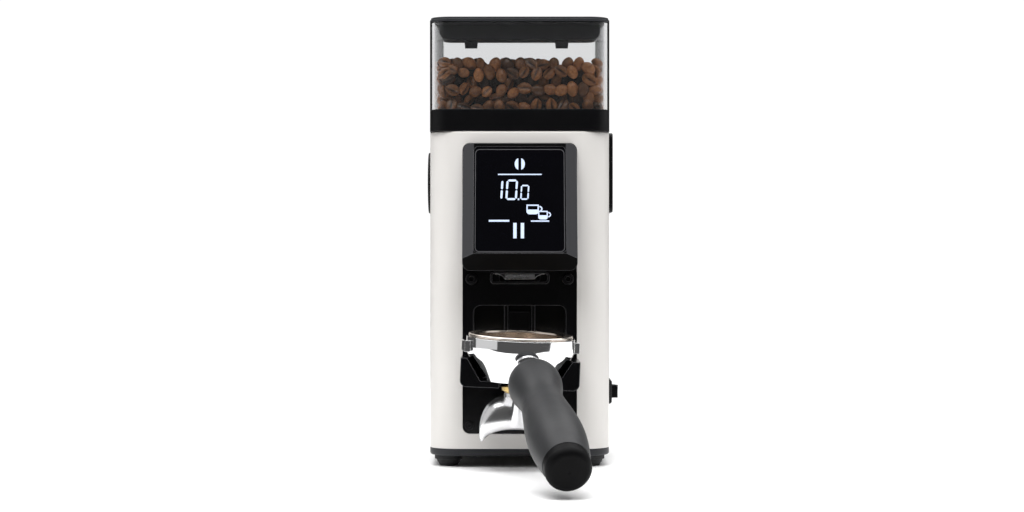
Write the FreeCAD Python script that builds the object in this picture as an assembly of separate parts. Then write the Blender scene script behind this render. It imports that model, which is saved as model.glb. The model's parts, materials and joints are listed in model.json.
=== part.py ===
import FreeCAD, Part
import math
import os

# Burr coffee grinder with a bean hopper, a leaning touch display and a portafilter resting in its fork.
# Millimetres. X across (right is +X), Y from the user's side to the rear, Z up, feet on Z = 0.
# Lengths along Y are measured from the body's front face; save() moves them to the origin used by the files.

os.makedirs("parts", exist_ok=True)

# ---------------------------------------------------------------- driving dimensions
ORIGIN_Y = 13.6            # the front face lies this far behind the middle of the whole length

BODY_HALF_W = 62.6         # body half width
BODY_D = 178.0             # body depth
BODY_R = 20.0              # plan corner radius
WALL = 3.0                 # cast shell wall
FOOT_H = 7.8               # rubber feet height
BASE_T = 5.1               # base plate thickness
BODY_Z0 = FOOT_H + BASE_T  # bottom of the painted shell
BODY_Z1 = 233.0            # top of the painted shell
INNER_HALF_W = BODY_HALF_W - WALL

OPEN_HALF_W = 39.6         # front opening in the shell, which the dark panel fills
OPEN_Z0 = 23.2
OPEN_Z1 = 224.4
PANEL_T = 3.5              # front panel thickness
PANEL_Y1 = WALL + PANEL_T

HOPPER_D = 142.0           # the hopper is shorter than the body, whose deck shows behind it
HOPPER_R = 14.0
COLLAR_Z1 = 248.0          # top of the black hopper base
LID_Z0 = 308.8             # underside of the lid's rim
LID_Z1 = 312.1
CLEAR_WALL = 3.0

LEAN = 17.5                # the display leans back by this many degrees
LEAN_Y = -28.5             # lower front edge of the leaning face
LEAN_Z = 148.0
BEZEL_HALF_W = 39.3
BEZEL_Z0 = 136.3
BEZEL_Z1 = 224.0
GLASS_HALF_W = 31.3
GLASS_H = 76.0

AXIS_Y = 78.0              # burr and motor axis
SHAFT_R = 6.0
FIT = 0.03                 # radial play between parts fixed to each other
RUN = 0.08                 # radial play of running fits

DIAL_R = 22.75
DIAL_Z = 201.0
GEAR_TEETH = 60
GEAR_MODULE = 1.5
GEAR_PITCH_R = GEAR_TEETH * GEAR_MODULE / 2
WORM_PITCH_R = 6.0
WORM_LEAD = math.pi * GEAR_MODULE
DIAL_Y = AXIS_Y + GEAR_PITCH_R + WORM_PITCH_R

SWITCH_Y = 55.0            # rocker pivot
SWITCH_Z = 50.0

PORTA_Y = -40.0            # portafilter centre, in front of the body
PORTA_X = 0.6
PORTA_Z = 93.8             # top of the basket rim
PORTA_ROLL = 2.3           # the right side hangs this many degrees low
PORTA_PITCH = 3.0          # the handle side hangs this many degrees low
HANDLE_YAW = 10.6          # the handle points this far to the right
SPOUT_YAW = 3.0            # the spout is screwed on facing nearly square to the front
HANDLE_DROOP = 18.4        # handle angle below the bowl's own rim plane
BOWL_R = 36.5
BOWL_BEND_R = 16.0         # the bowl's wall turns in on this radius
BOWL_BEND_Z = -8.3         # and starts to turn in here
BOWL_SLANT = 31.5          # slant of the wall below the bend
BOWL_BOTTOM = -31.3        # flat underside of the bowl below its rim
RIM_T = 2.2                # height of the basket's rolled rim above the bowl
HANDLE_Z = -9.8            # where the handle's axis meets the bowl's axis

X_AXIS = FreeCAD.Vector(1, 0, 0)
Y_AXIS = FreeCAD.Vector(0, 1, 0)
Z_AXIS = FreeCAD.Vector(0, 0, 1)
ORIGIN = FreeCAD.Vector(0, 0, 0)


# ---------------------------------------------------------------- shape helpers
def vec(x, y, z):
    return FreeCAD.Vector(x, y, z)


def save(name, shape):
    moved = shape.copy()
    moved.translate(vec(0, ORIGIN_Y, 0))
    moved.exportStep("parts/" + name + ".step")


def box(x0, x1, y0, y1, z0, z1):
    return Part.makeBox(x1 - x0, y1 - y0, z1 - z0, vec(x0, y0, z0))


def disc(x, y, radius, z0, z1):
    return Part.makeCylinder(radius, z1 - z0, vec(x, y, z0))


def ring(x, y, r_in, r_out, z0, z1):
    return disc(x, y, r_out, z0, z1).cut(disc(x, y, r_in, z0, z1))


def rod_x(x0, x1, y, z, radius):
    return Part.makeCylinder(radius, x1 - x0, vec(x0, y, z), X_AXIS)


def rod_y(x, y0, y1, z, radius):
    return Part.makeCylinder(radius, y1 - y0, vec(x, y0, z), Y_AXIS)


def rounded_face(u0, u1, v0, v1, radius, place):
    """Rounded rectangle in u and v; place(u, v) gives the point in space."""
    bend = radius * (1 - math.sqrt(0.5))
    corners = (
        (u1 - radius, v0, u1 - bend, v0 + bend, u1, v0 + radius),
        (u1, v1 - radius, u1 - bend, v1 - bend, u1 - radius, v1),
        (u0 + radius, v1, u0 + bend, v1 - bend, u0, v1 - radius),
        (u0, v0 + radius, u0 + bend, v0 + bend, u0 + radius, v0),
    )
    edges = []
    for index, corner in enumerate(corners):
        start = place(corner[0], corner[1])
        middle = place(corner[2], corner[3])
        end = place(corner[4], corner[5])
        edges.append(Part.Arc(start, middle, end).toShape())
        following = corners[(index + 1) % 4]
        edges.append(Part.makeLine(end, place(following[0], following[1])))
    return Part.Face(Part.Wire(edges))


def slab_z(x0, x1, y0, y1, z0, z1, radius):
    face = rounded_face(x0, x1, y0, y1, radius, lambda u, v: vec(u, v, z0))
    return face.extrude(vec(0, 0, z1 - z0))


def slab_y(x0, x1, z0, z1, y0, y1, radius):
    face = rounded_face(x0, x1, z0, z1, radius, lambda u, v: vec(u, y0, v))
    return face.extrude(vec(0, y1 - y0, 0))


def slab_x(y0, y1, z0, z1, x0, x1, radius):
    face = rounded_face(y0, y1, z0, z1, radius, lambda u, v: vec(x0, u, v))
    return face.extrude(vec(x1 - x0, 0, 0))


def polygon_x(points, x0, x1):
    """Solid with an outline of (y, z) points, running from x0 to x1."""
    corners = [vec(x0, y, z) for y, z in points]
    return Part.Face(Part.makePolygon(corners + corners[:1])).extrude(vec(x1 - x0, 0, 0))


def turned(points, x=0.0, y=0.0):
    """Solid of revolution about a vertical line; points are (radius, z)."""
    corners = [vec(r, 0, z) for r, z in points]
    face = Part.Face(Part.makePolygon(corners + corners[:1]))
    solid = face.revolve(ORIGIN, Z_AXIS, 360)
    solid.translate(vec(x, y, 0))
    return solid


def fuse(first, *others):
    return first.fuse(list(others)).removeSplitter()


def cut(first, *others):
    return first.cut(list(others))


def copies_around(shape, count, x, y, start=0.0):
    found = []
    for index in range(count):
        found.append(shape.rotated(vec(x, y, 0), Z_AXIS, start + 360.0 * index / count))
    return found


def soften(shape, radius, wanted):
    edges = [edge for edge in shape.Edges if wanted(edge)]
    return shape.makeFillet(radius, edges)


def edges_at_z(level):
    return lambda edge: abs(edge.BoundBox.ZMin - level) < 0.001 and abs(edge.BoundBox.ZMax - level) < 0.001


def hexagon(x, y, radius, z0, z1):
    """Six-sided prism, its corners at the given radius."""
    corners = []
    for index in range(7):
        angle = math.radians(60 * index)
        corners.append(vec(x + radius * math.cos(angle), y + radius * math.sin(angle), z0))
    return Part.Face(Part.makePolygon(corners)).extrude(vec(0, 0, z1 - z0))


def screw(x, y, z, head_r, head_h, shank_r, shank_l, socket_r=0.0):
    """Screw whose head underside is at the point and whose shank points along -Z, with a hex socket."""
    head = disc(x, y, head_r, z, z + head_h)
    head = soften(head, head_h * 0.25, edges_at_z(z + head_h))
    body = head.fuse(disc(x, y, shank_r, z - shank_l, z))
    depth = head_h * 0.5
    return body.cut(hexagon(x, y, socket_r, z + head_h - depth, z + head_h + 1))


def facing_front(shape, x, y, z):
    """Turns a part made along +Z so that its top faces the user, and puts it at a point."""
    turned_part = shape.rotated(ORIGIN, X_AXIS, 90)
    turned_part.translate(vec(x, y, z))
    return turned_part


def facing_rear(shape, x, y, z):
    turned_part = shape.rotated(ORIGIN, X_AXIS, -90)
    turned_part.translate(vec(x, y, z))
    return turned_part


# ---------------------------------------------------------------- body shell and base
SCREW_X = 33.4             # upper panel screws
SCREW_Z = 130.4
LOW_SCREW_X = 35.0
LOW_SCREW_Z = 28.7
SHANK_R = 1.9
BRACKET_Z0 = 136.0
BRACKET_Z1 = 139.0
INLET_X = -25.0
INLET_Z = 38.0
COVER_HALF_W = 42.0
COVER_Z0 = 62.0
COVER_Z1 = 206.0
COVER_SCREW_R = 1.5
VENT_Y0 = 24.0
VENT_Y1 = 114.0
VENT_Z0 = 177.0
VENT_Z1 = 232.8
DECK_HOLE_R = 30.0         # the hopper's throat passes through it


def cover_screw_places():
    """The four (x, z) corners where the rear cover is screwed on."""
    places = []
    for side in (-1, 1):
        for z in (COVER_Z0 + 5, COVER_Z1 - 5):
            places.append((side * (COVER_HALF_W - 3.0), z))
    return places


def make_body_shell():
    outer = slab_z(-BODY_HALF_W, BODY_HALF_W, 0, BODY_D, BODY_Z0, BODY_Z1, BODY_R)
    outer = soften(outer, 1.5, edges_at_z(BODY_Z1))
    hollow = slab_z(-INNER_HALF_W, INNER_HALF_W, WALL, BODY_D - WALL,
                    BODY_Z0 - 1, BODY_Z1 - WALL, BODY_R - WALL)
    shell = outer.cut(hollow)
    tabs = []
    for side in (-1, 1):
        for x, z in ((SCREW_X, SCREW_Z), (LOW_SCREW_X, LOW_SCREW_Z)):
            inner, outer_x = sorted((side * (x - 4.5), side * (INNER_HALF_W + 1)))
            tab = box(inner, outer_x, PANEL_Y1, PANEL_Y1 + 4, z - 4.5, z + 4.5)
            tabs.append(tab.cut(rod_y(side * x, 0, 20, z, SHANK_R + FIT)))
        inner, outer_x = sorted((side * (INNER_HALF_W - 5), side * (INNER_HALF_W + 1)))
        tabs.append(box(inner, outer_x, 30, 126, BRACKET_Z0 - 4, BRACKET_Z0))
    shell = fuse(shell, *tabs).common(outer)
    side_in = INNER_HALF_W - 1
    side_out = BODY_HALF_W + 1
    rear_in = BODY_D - WALL - 1
    rear_out = BODY_D + 1
    openings = [
        slab_y(-OPEN_HALF_W, OPEN_HALF_W, OPEN_Z0, OPEN_Z1, -1, WALL, 5.0),
        disc(0, AXIS_Y, DECK_HOLE_R, BODY_Z1 - WALL - 1, BODY_Z1 + 1),
        rod_x(-side_out, -side_in, DIAL_Y, DIAL_Z, 6.0),
        slab_x(SWITCH_Y - 15, SWITCH_Y + 15, SWITCH_Z - 7, SWITCH_Z + 7, side_in, side_out, 1.5),
        slab_y(INLET_X - 14, INLET_X + 14, INLET_Z - 10, INLET_Z + 10, rear_in, rear_out, 2.0),
        slab_y(-COVER_HALF_W + 6, COVER_HALF_W - 6, COVER_Z0 + 6, COVER_Z1 - 6, rear_in, rear_out, 4.0),
        slab_x(VENT_Y0 + 6, VENT_Y1 - 6, VENT_Z0 + 6, VENT_Z1 - 6, side_in, side_out, 4.0),
    ]
    for x, z in cover_screw_places():
        openings.append(rod_y(x, rear_in, rear_out, z, COVER_SCREW_R + FIT))
    return cut(shell, *openings)


def make_base_plate():
    plate = slab_z(-BODY_HALF_W, BODY_HALF_W, 0, BODY_D, FOOT_H, BODY_Z0, BODY_R)
    plate = soften(plate, 1.6, edges_at_z(FOOT_H))
    slots = []
    grille_r = 34.0
    for index in range(7):
        x = -24.0 + 8.0 * index
        reach = math.sqrt(grille_r ** 2 - x ** 2)
        slots.append(slab_z(x - 1.6, x + 1.6, AXIS_Y - reach, AXIS_Y + reach, FOOT_H - 1, BODY_Z0 + 1, 1.5))
    return cut(plate, *slots)


def make_rubber_feet():
    profile = (
        (0, 0), (5.9, 0), (6.4, 0.6), (7.4, 2.6), (7.8, 2.6), (8.4, 4.6), (9.65, 4.8), (9.65, FOOT_H),
        (0, FOOT_H))
    feet = []
    for x in (-49.7, 49.7):
        for y in (18.0, BODY_D - 18.0):
            feet.append(turned(profile, x, y))
    return Part.makeCompound(feet)


def make_rear_cover():
    plate = slab_y(-COVER_HALF_W, COVER_HALF_W, COVER_Z0, COVER_Z1, BODY_D, BODY_D + 2.0, 5.0)
    plug = slab_y(-COVER_HALF_W + 6.5, COVER_HALF_W - 6.5, COVER_Z0 + 6.5, COVER_Z1 - 6.5,
                  BODY_D - 2.5, BODY_D, 3.5)
    cover = plate.fuse(plug)
    tools = []
    for index in range(12):
        z = COVER_Z0 + 22.0 + 9.0 * index
        tools.append(slab_y(-28.0, 28.0, z, z + 3.6, BODY_D - 4, BODY_D + 3, 1.7))
    for x, z in cover_screw_places():
        tools.append(rod_y(x, BODY_D - 1, BODY_D + 3, z, COVER_SCREW_R + FIT))
    return cut(cover, *tools)


def make_rear_cover_screws():
    screws = []
    for x, z in cover_screw_places():
        part = screw(0, 0, 0, 2.7, 1.8, COVER_SCREW_R, 7.0, 1.4)
        screws.append(facing_rear(part, x, BODY_D + 2.0, z))
    return Part.makeCompound(screws)


def make_side_vent():
    plate = slab_x(VENT_Y0, VENT_Y1, VENT_Z0, VENT_Z1, BODY_HALF_W, BODY_HALF_W + 2.9, 4.5)
    plate = soften(plate, 0.8, lambda edge: edge.BoundBox.XMin > BODY_HALF_W + 2.85)
    plug = slab_x(VENT_Y0 + 6.5, VENT_Y1 - 6.5, VENT_Z0 + 6.5, VENT_Z1 - 6.5,
                  BODY_HALF_W - 2.5, BODY_HALF_W, 3.5)
    slots = []
    for index in range(5):
        z = VENT_Z0 + 10.5 + 7.2 * index
        slots.append(slab_x(VENT_Y0 + 12, VENT_Y1 - 12, z, z + 3.2, BODY_HALF_W - 4, BODY_HALF_W + 4, 1.5))
    return cut(plate.fuse(plug), *slots)


def make_motor_bracket():
    plate = slab_z(-INNER_HALF_W + 0.3, INNER_HALF_W - 0.3, 30, 126, BRACKET_Z0, BRACKET_Z1, 6.0)
    shaft_hole_r = 18.0
    return plate.cut(disc(0, AXIS_Y, shaft_hole_r, BRACKET_Z0 - 1, BRACKET_Z1 + 1))


# ---------------------------------------------------------------- front panel, fork and start paddle
POCKET_HALF_W = 32.0
POCKET_Z0 = 66.0
POCKET_Z1 = 112.0
POCKET_Y1 = 18.0
POCKET_WALL = 2.0
RIB_X = 8.15
RIB_T = 2.5
FORK_SCREW_X = 20.0
FORK_SCREW_Z = 60.6
PADDLE_Y0 = 6.0
PADDLE_Y1 = 11.0
NOSE_Y0 = -2.2             # the paddle's nose ends just behind the bowl, above the fork
NOSE_Z0 = 78.6
CHUTE_HALF_W = 15.6
CHUTE_T = 1.6
MOUTH_Z0 = 127.0
MOUTH_Z1 = 135.6


def make_front_panel():
    lap = 2.8
    half_w = OPEN_HALF_W + lap
    plate = slab_y(-half_w, half_w, OPEN_Z0 - 4.7, OPEN_Z1 + lap, WALL, PANEL_Y1, 6.0)
    tub = slab_y(-POCKET_HALF_W - POCKET_WALL, POCKET_HALF_W + POCKET_WALL, POCKET_Z0 - POCKET_WALL,
                 POCKET_Z1 + POCKET_WALL, WALL, POCKET_Y1 + POCKET_WALL, 7.0)
    pocket = slab_y(-POCKET_HALF_W, POCKET_HALF_W, POCKET_Z0, POCKET_Z1, WALL - 1, POCKET_Y1, 5.0)
    panel = plate.fuse(tub).cut(pocket)
    ribs = []
    for side in (-1, 1):
        x0, x1 = sorted((side * RIB_X, side * (RIB_X + RIB_T)))
        ribs.append(box(x0, x1, WALL + 1.0, POCKET_Y1 + 0.5, POCKET_Z0 - 0.5, POCKET_Z1 + 0.5))
        for z in (176.0, 218.0):
            ribs.append(rod_y(side * 34.0, PANEL_Y1 - 1, PANEL_Y1 + 3, z, 3.0))
    panel = fuse(panel, *ribs)
    tools = [
        rod_y(0, POCKET_Y1 - 1, 30, 100.0, 1.5 + RUN),
        slab_y(-24.0, 24.0, 166.0, 208.0, 0, 20, 3.0),
        box(-CHUTE_HALF_W - FIT, CHUTE_HALF_W + FIT, 0, 20, MOUTH_Z0 + 0.4, MOUTH_Z1 - 0.4),
    ]
    for side in (-1, 1):
        tools.append(rod_y(side * SCREW_X, 0, 20, SCREW_Z, SHANK_R + FIT))
        tools.append(rod_y(side * LOW_SCREW_X, 0, 20, LOW_SCREW_Z, SHANK_R + FIT))
        tools.append(rod_y(side * FORK_SCREW_X, 0, 20, FORK_SCREW_Z, 1.5 + FIT))
    return cut(panel, *tools)


def make_panel_screws():
    screws = []
    for side in (-1, 1):
        part = screw(0, 0, 0, 4.15, 4.6, SHANK_R, 7.0, 2.0)
        screws.append(facing_front(part, side * SCREW_X, WALL, SCREW_Z))
    return Part.makeCompound(screws)


def make_lower_panel_screws():
    screws = []
    for side in (-1, 1):
        part = screw(0, 0, 0, 3.0, 1.9, SHANK_R, 7.0, 1.5)
        screws.append(facing_front(part, side * LOW_SCREW_X, WALL, LOW_SCREW_Z))
    return Part.makeCompound(screws)


def bowl_side(side, clearance):
    """Outer wall of the bowl on one side, grown by a clearance: edges from the rim down, and the foot."""
    slant = math.radians(BOWL_SLANT)
    grown = BOWL_BEND_R + clearance

    def on_bend(angle):
        across = BOWL_R - BOWL_BEND_R + grown * math.cos(angle)
        return vec(side * across, 0, BOWL_BEND_Z - grown * math.sin(angle))

    start = on_bend(0.0)
    end = on_bend(slant)
    foot = vec(end.x - side * (end.z - BOWL_BOTTOM) * math.tan(slant), 0, BOWL_BOTTOM)
    edges = [
        Part.makeLine(vec(start.x, 0, -RIM_T), start),
        Part.Arc(start, on_bend(slant / 2), end).toShape(),
        Part.makeLine(end, foot),
    ]
    return edges, foot


def bowl_solid(clearance):
    """The bowl's outside as a solid, rim at zero."""
    edges, foot = bowl_side(1, clearance)
    rim = vec(BOWL_R + clearance, 0, -RIM_T)
    rim_centre = vec(0, 0, -RIM_T)
    foot_centre = vec(0, 0, BOWL_BOTTOM)
    bottom = Part.makeLine(foot, foot_centre)
    axis = Part.makeLine(foot_centre, rim_centre)
    top = Part.makeLine(rim_centre, rim)
    return Part.Face(Part.Wire(edges + [bottom, axis, top])).revolve(ORIGIN, Z_AXIS, 360)


def bowl_trough(clearance, length):
    """The bowl's side view, drawn out towards the front."""
    right, right_foot = bowl_side(1, clearance)
    left, left_foot = bowl_side(-1, clearance)
    half = BOWL_R + clearance
    bottom = Part.makeLine(right_foot, left_foot)
    top = Part.makeLine(vec(-half, 0, -RIM_T), vec(half, 0, -RIM_T))
    outline = Part.Wire(right + [bottom] + left[::-1] + [top])
    return Part.Face(outline).extrude(vec(0, -length, 0))


def seated(shape, yaw=0.0):
    """Moves a part made about the bowl's own axis, rim at zero, to where the bowl rests in the fork."""
    placed = shape.rotated(ORIGIN, Z_AXIS, yaw)
    placed = placed.rotated(ORIGIN, X_AXIS, PORTA_PITCH)
    placed = placed.rotated(ORIGIN, Y_AXIS, PORTA_ROLL)
    placed.translate(vec(PORTA_X, PORTA_Y, PORTA_Z))
    return placed


FORK_HALF_W = 40.0
FORK_Z0 = 57.4
FORK_Z1 = 76.8
FORK_Y0 = -52.0
FORK_PLAY = 0.7


def make_fork():
    """Block with a bowl-shaped seat and a slot for the spout; its root narrows to pass into the shell."""
    block = slab_y(-FORK_HALF_W, FORK_HALF_W, FORK_Z0, FORK_Z1 + 6.0, FORK_Y0, WALL, 4.5)
    block = block.cut(box(-50, 50, FORK_Y0 - 1, WALL + 1, FORK_Z1, FORK_Z1 + 20))
    block = block.rotated(vec(0, 0, (FORK_Z0 + FORK_Z1) / 2), Y_AXIS, PORTA_ROLL)
    trough = bowl_trough(FORK_PLAY, 60.0)
    around = bowl_solid(FORK_PLAY)
    slot_r = 13.2
    slot = disc(0, 0, slot_r, -60, -20).fuse(box(-slot_r, slot_r, -60, 0, -60, -20))
    fork = block.cut(seated(trough)).cut(seated(around)).cut(seated(slot))
    root = OPEN_HALF_W - 0.6
    tools = [box(root, 50, -0.3, WALL + 1, 40, 100), box(-50, -root, -0.3, WALL + 1, 40, 100)]
    for x in (-FORK_SCREW_X, FORK_SCREW_X):
        tools.append(rod_y(x, -5.0, WALL + 1, FORK_SCREW_Z, 1.5 + FIT))
    return cut(fork, *tools)


def make_fork_screws():
    screws = []
    for x in (-FORK_SCREW_X, FORK_SCREW_X):
        part = screw(0, 0, 0, 2.8, 2.2, 1.5, 10.0, 1.4)
        screws.append(facing_rear(part, x, PANEL_Y1, FORK_SCREW_Z))
    return Part.makeCompound(screws)


def make_start_paddle():
    plate = slab_y(-7.9, 7.9, POCKET_Z0 + 3, POCKET_Z1 - 4, PADDLE_Y0, PADDLE_Y1, 2.0)
    plate = soften(plate, 1.0, lambda edge: edge.BoundBox.YMax < PADDLE_Y0 + 0.001)
    pin = rod_y(0, PADDLE_Y1 - 1, POCKET_Y1 + 0.9, 100.0, 1.5)
    nose = slab_y(-5.0, 5.0, NOSE_Z0, NOSE_Z0 + 10.0, NOSE_Y0, PADDLE_Y0 + 1, 2.0)
    return fuse(plate, pin, nose)


def make_paddle_spring():
    turns = 5
    reach = POCKET_Y1 - PADDLE_Y1 - 1.2
    coil = Part.makeHelix(reach / turns, reach, 3.4)
    wire = Part.Wire(Part.makeCircle(0.35, vec(3.4, 0, 0), Y_AXIS))
    spring = Part.Wire(coil).makePipeShell([wire], True, True)
    return facing_rear(spring, 0, PADDLE_Y1 + 0.6, 100.0)


def make_micro_switch():
    body = box(-10, 10, 21.6, 28.6, 94.0, 106.0)
    feet = []
    for x in (-8.0, 8.0):
        feet.append(rod_y(x, POCKET_Y1 + POCKET_WALL, 22.0, 100.0, 1.6))
        feet.append(box(x - 1.0, x + 1.0, 23.5, 24.3, 106.0, 110.0))
    return fuse(body, *feet)


# ---------------------------------------------------------------- leaning display
def leaning(shape):
    """Places a part drawn with its front on y = 0 and its lower edge on z = 0 onto the leaning face."""
    placed = shape.rotated(ORIGIN, X_AXIS, -LEAN)
    placed.translate(vec(0, LEAN_Y, LEAN_Z))
    return placed


FACE_LEN = (BEZEL_Z1 - LEAN_Z) / math.cos(math.radians(LEAN))
STRIP_W = BEZEL_HALF_W - GLASS_HALF_W - 0.5
STRIP_DEPTH = 3.0
GLASS_GAP = 0.2
GLASS_T = 1.6


def make_display_bezel():
    top_y = LEAN_Y + (BEZEL_Z1 - LEAN_Z) * math.tan(math.radians(LEAN))
    wedge = polygon_x(
        ((WALL, BEZEL_Z0), (LEAN_Y + 7.5, BEZEL_Z0), (LEAN_Y, LEAN_Z), (top_y, BEZEL_Z1), (WALL, BEZEL_Z1)),
        -BEZEL_HALF_W - 1, BEZEL_HALF_W + 1)
    outline = slab_y(-BEZEL_HALF_W, BEZEL_HALF_W, BEZEL_Z0, BEZEL_Z1, LEAN_Y - 1, WALL, 5.3)
    bezel = wedge.common(outline)
    tools = []
    for side in (-1, 1):
        inner = side * (GLASS_HALF_W + 0.5)
        outer = side * (BEZEL_HALF_W + 1.0)
        drop = STRIP_DEPTH * (STRIP_W + 1.0) / STRIP_W
        corners = [vec(inner, 0, -20), vec(outer, drop, -20), vec(outer, -3, -20), vec(inner, -3, -20)]
        wedge_cut = Part.Face(Part.makePolygon(corners + corners[:1])).extrude(vec(0, 0, FACE_LEN + 40))
        tools.append(leaning(wedge_cut))
    seat = slab_y(-GLASS_HALF_W - GLASS_GAP, GLASS_HALF_W + GLASS_GAP, 0.8, GLASS_H + 0.8 + 2 * GLASS_GAP,
                  -1, GLASS_T + 0.3, 2.7)
    window = slab_y(-GLASS_HALF_W + 2.2, GLASS_HALF_W - 2.2, 4.0, GLASS_H - 3.0, 0, 60, 1.5)
    tools += [leaning(seat), leaning(window)]
    return cut(bezel, *tools)


def make_display_glass():
    return leaning(slab_y(-GLASS_HALF_W, GLASS_HALF_W, 0.8 + GLASS_GAP, GLASS_H + 0.8 + GLASS_GAP,
                          0.3, GLASS_T + 0.3, 2.5))


def make_display_module():
    frame = slab_y(-28.6, 28.6, 4.6, GLASS_H - 3.6, GLASS_T + 0.3, 8.0, 1.2)
    connector = box(-8, 8, 8.0, 10.5, 30.0, 36.0)
    return leaning(frame.fuse(connector))


def make_control_board():
    board = slab_y(-40.0, 40.0, 170.0, 224.0, PANEL_Y1 + 3.0, PANEL_Y1 + 4.6, 2.0)
    rear = PANEL_Y1 + 4.6
    relay = box(-34, -16, rear, rear + 12, 176, 192)
    chip = box(2, 16, rear, rear + 1.6, 196, 210)
    socket = box(20, 34, rear, rear + 6, 174, 180)
    capacitor = rod_y(-26.0, rear, rear + 13, 206.0, 5.0)
    return fuse(board, relay, chip, socket, capacitor)


# ---------------------------------------------------------------- outlet
CHAMBER_R = 43.0
SNOUT_Y = AXIS_Y - CHAMBER_R - 5.0
CHUTE_TOP = ((WALL, MOUTH_Z1 - 0.5), (PANEL_Y1 + 1.0, MOUTH_Z1 - 0.5), (20.0, 160.0), (SNOUT_Y, 168.0))
CHUTE_LOW = ((SNOUT_Y, 149.4), (27.0, 149.4), (12.0, MOUTH_Z0 + 0.5), (WALL, MOUTH_Z0 + 0.5))
DUCT_TOP = ((WALL - 1, MOUTH_Z1 - 2.1), (9.2, MOUTH_Z1 - 2.1), (21.2, 158.6), (SNOUT_Y + 1, 166.2))
DUCT_LOW = ((SNOUT_Y + 1, 151.0), (26.2, 151.0), (11.2, MOUTH_Z0 + 2.1), (WALL - 1, MOUTH_Z0 + 2.1))


def make_outlet_chute():
    outside = polygon_x(CHUTE_TOP + CHUTE_LOW, -CHUTE_HALF_W, CHUTE_HALF_W)
    inside = polygon_x(DUCT_TOP + DUCT_LOW, -CHUTE_HALF_W + CHUTE_T, CHUTE_HALF_W - CHUTE_T)
    return outside.cut(inside)


NOZZLE_Y0 = -9.0
NOZZLE_HALF_W = 20.5


def make_outlet_nozzle():
    body = slab_y(-NOZZLE_HALF_W, NOZZLE_HALF_W, MOUTH_Z0, MOUTH_Z1, NOZZLE_Y0, WALL, 3.0)
    rim = 1.4
    mouth = slab_y(-NOZZLE_HALF_W + rim, NOZZLE_HALF_W - rim, MOUTH_Z0 + rim, MOUTH_Z1 - rim,
                   NOZZLE_Y0 - 1, 0.5, 1.8)
    throat = box(-14.0, 14.0, 0, WALL + 1, MOUTH_Z0 + 2.1, MOUTH_Z1 - 2.1)
    drop = box(-13.0, 13.0, NOZZLE_Y0 + 1.6, -0.5, MOUTH_Z0 - 1, MOUTH_Z0 + 2)
    return cut(body, mouth, throat, drop)


def make_declumper_clip():
    """Spring steel strip: two ends on the mouth's roof, two slanting arms and a tongue with a bent lip."""
    top = MOUTH_Z1 - 1.4
    y = NOZZLE_Y0 + 1.0
    strip_t = 0.5
    line = ((-17.2, top), (-15.2, top), (-11.6, top - 1.6), (-10.2, top - 3.4))
    outer = [(x, z) for x, z in line]
    outer += [(-x, z) for x, z in reversed(line)]
    inner = [(x, z - strip_t) for x, z in reversed(outer)]
    corners = [vec(x, y, z) for x, z in outer + inner]
    strip = Part.Face(Part.makePolygon(corners + corners[:1])).extrude(vec(0, 2.5, 0))
    tongue = box(-10.4, 10.4, y + 1.9, y + 2.4, top - 3.7, top - 0.6)
    return fuse(strip, tongue)


# ---------------------------------------------------------------- grinding adjustment
def make_dial_bezel():
    plate = rod_x(-BODY_HALF_W - 1.5, -BODY_HALF_W, DIAL_Y, DIAL_Z, 24.5)
    return plate.cut(rod_x(-BODY_HALF_W - 2, -BODY_HALF_W + 1, DIAL_Y, DIAL_Z, 12.0))


def make_adjust_dial():
    x0 = -BODY_HALF_W - 5.2
    x1 = -BODY_HALF_W - 1.8
    knob = rod_x(x0, x1, DIAL_Y, DIAL_Z, DIAL_R)
    knob = soften(knob, 0.8, lambda edge: edge.BoundBox.XMax < x0 + 0.001)
    grooves = []
    for index in range(48):
        angle = math.radians(7.5 * index)
        y = DIAL_Y + (DIAL_R + 0.25) * math.cos(angle)
        z = DIAL_Z + (DIAL_R + 0.25) * math.sin(angle)
        grooves.append(rod_x(x0 - 1, x1 + 1, y, z, 0.7))
    bore = rod_x(x0 + 1.4, x1 + 2, DIAL_Y, DIAL_Z, 3.0 + FIT)
    hub = rod_x(x1 - 0.5, x1 + 1.6, DIAL_Y, DIAL_Z, 12.0 - RUN)
    return cut(knob.fuse(hub), bore, *grooves)


def make_worm_shaft():
    half = 12.0
    turns = 5
    start = -(turns / 2 + 0.25) * WORM_LEAD     # a quarter lead off centre, so the thread meets a tooth gap
    path = Part.Wire(Part.makeHelix(WORM_LEAD, WORM_LEAD * turns, WORM_PITCH_R))
    corners = [vec(4.1, 0, -1.3), vec(7.3, 0, -0.55), vec(7.3, 0, 0.55), vec(4.1, 0, 1.3)]
    section = Part.makePolygon(corners + corners[:1])
    thread = path.makePipeShell([section], True, True)
    thread = thread.rotated(ORIGIN, Y_AXIS, 90)
    thread.translate(vec(start, DIAL_Y, DIAL_Z))
    core = rod_x(-half - 2.0, half + 2.0, DIAL_Y, DIAL_Z, 4.4)
    shaft = rod_x(-BODY_HALF_W - 3.8, 27.0, DIAL_Y, DIAL_Z, 3.0)
    return core.fuse(shaft).fuse(thread)


def make_worm_bracket():
    base = box(-25, 25, AXIS_Y + 44, 142, 184, 189)
    lugs = []
    for x0, x1 in ((-25, -17), (17, 25)):
        lug = slab_x(DIAL_Y - 6.5, DIAL_Y + 6.5, 186, DIAL_Z + 6.5, x0, x1, 4.0)
        lugs.append(lug)
    bracket = fuse(base, *lugs)
    return bracket.cut(rod_x(-30, 30, DIAL_Y, DIAL_Z, 3.0 + RUN))


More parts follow.
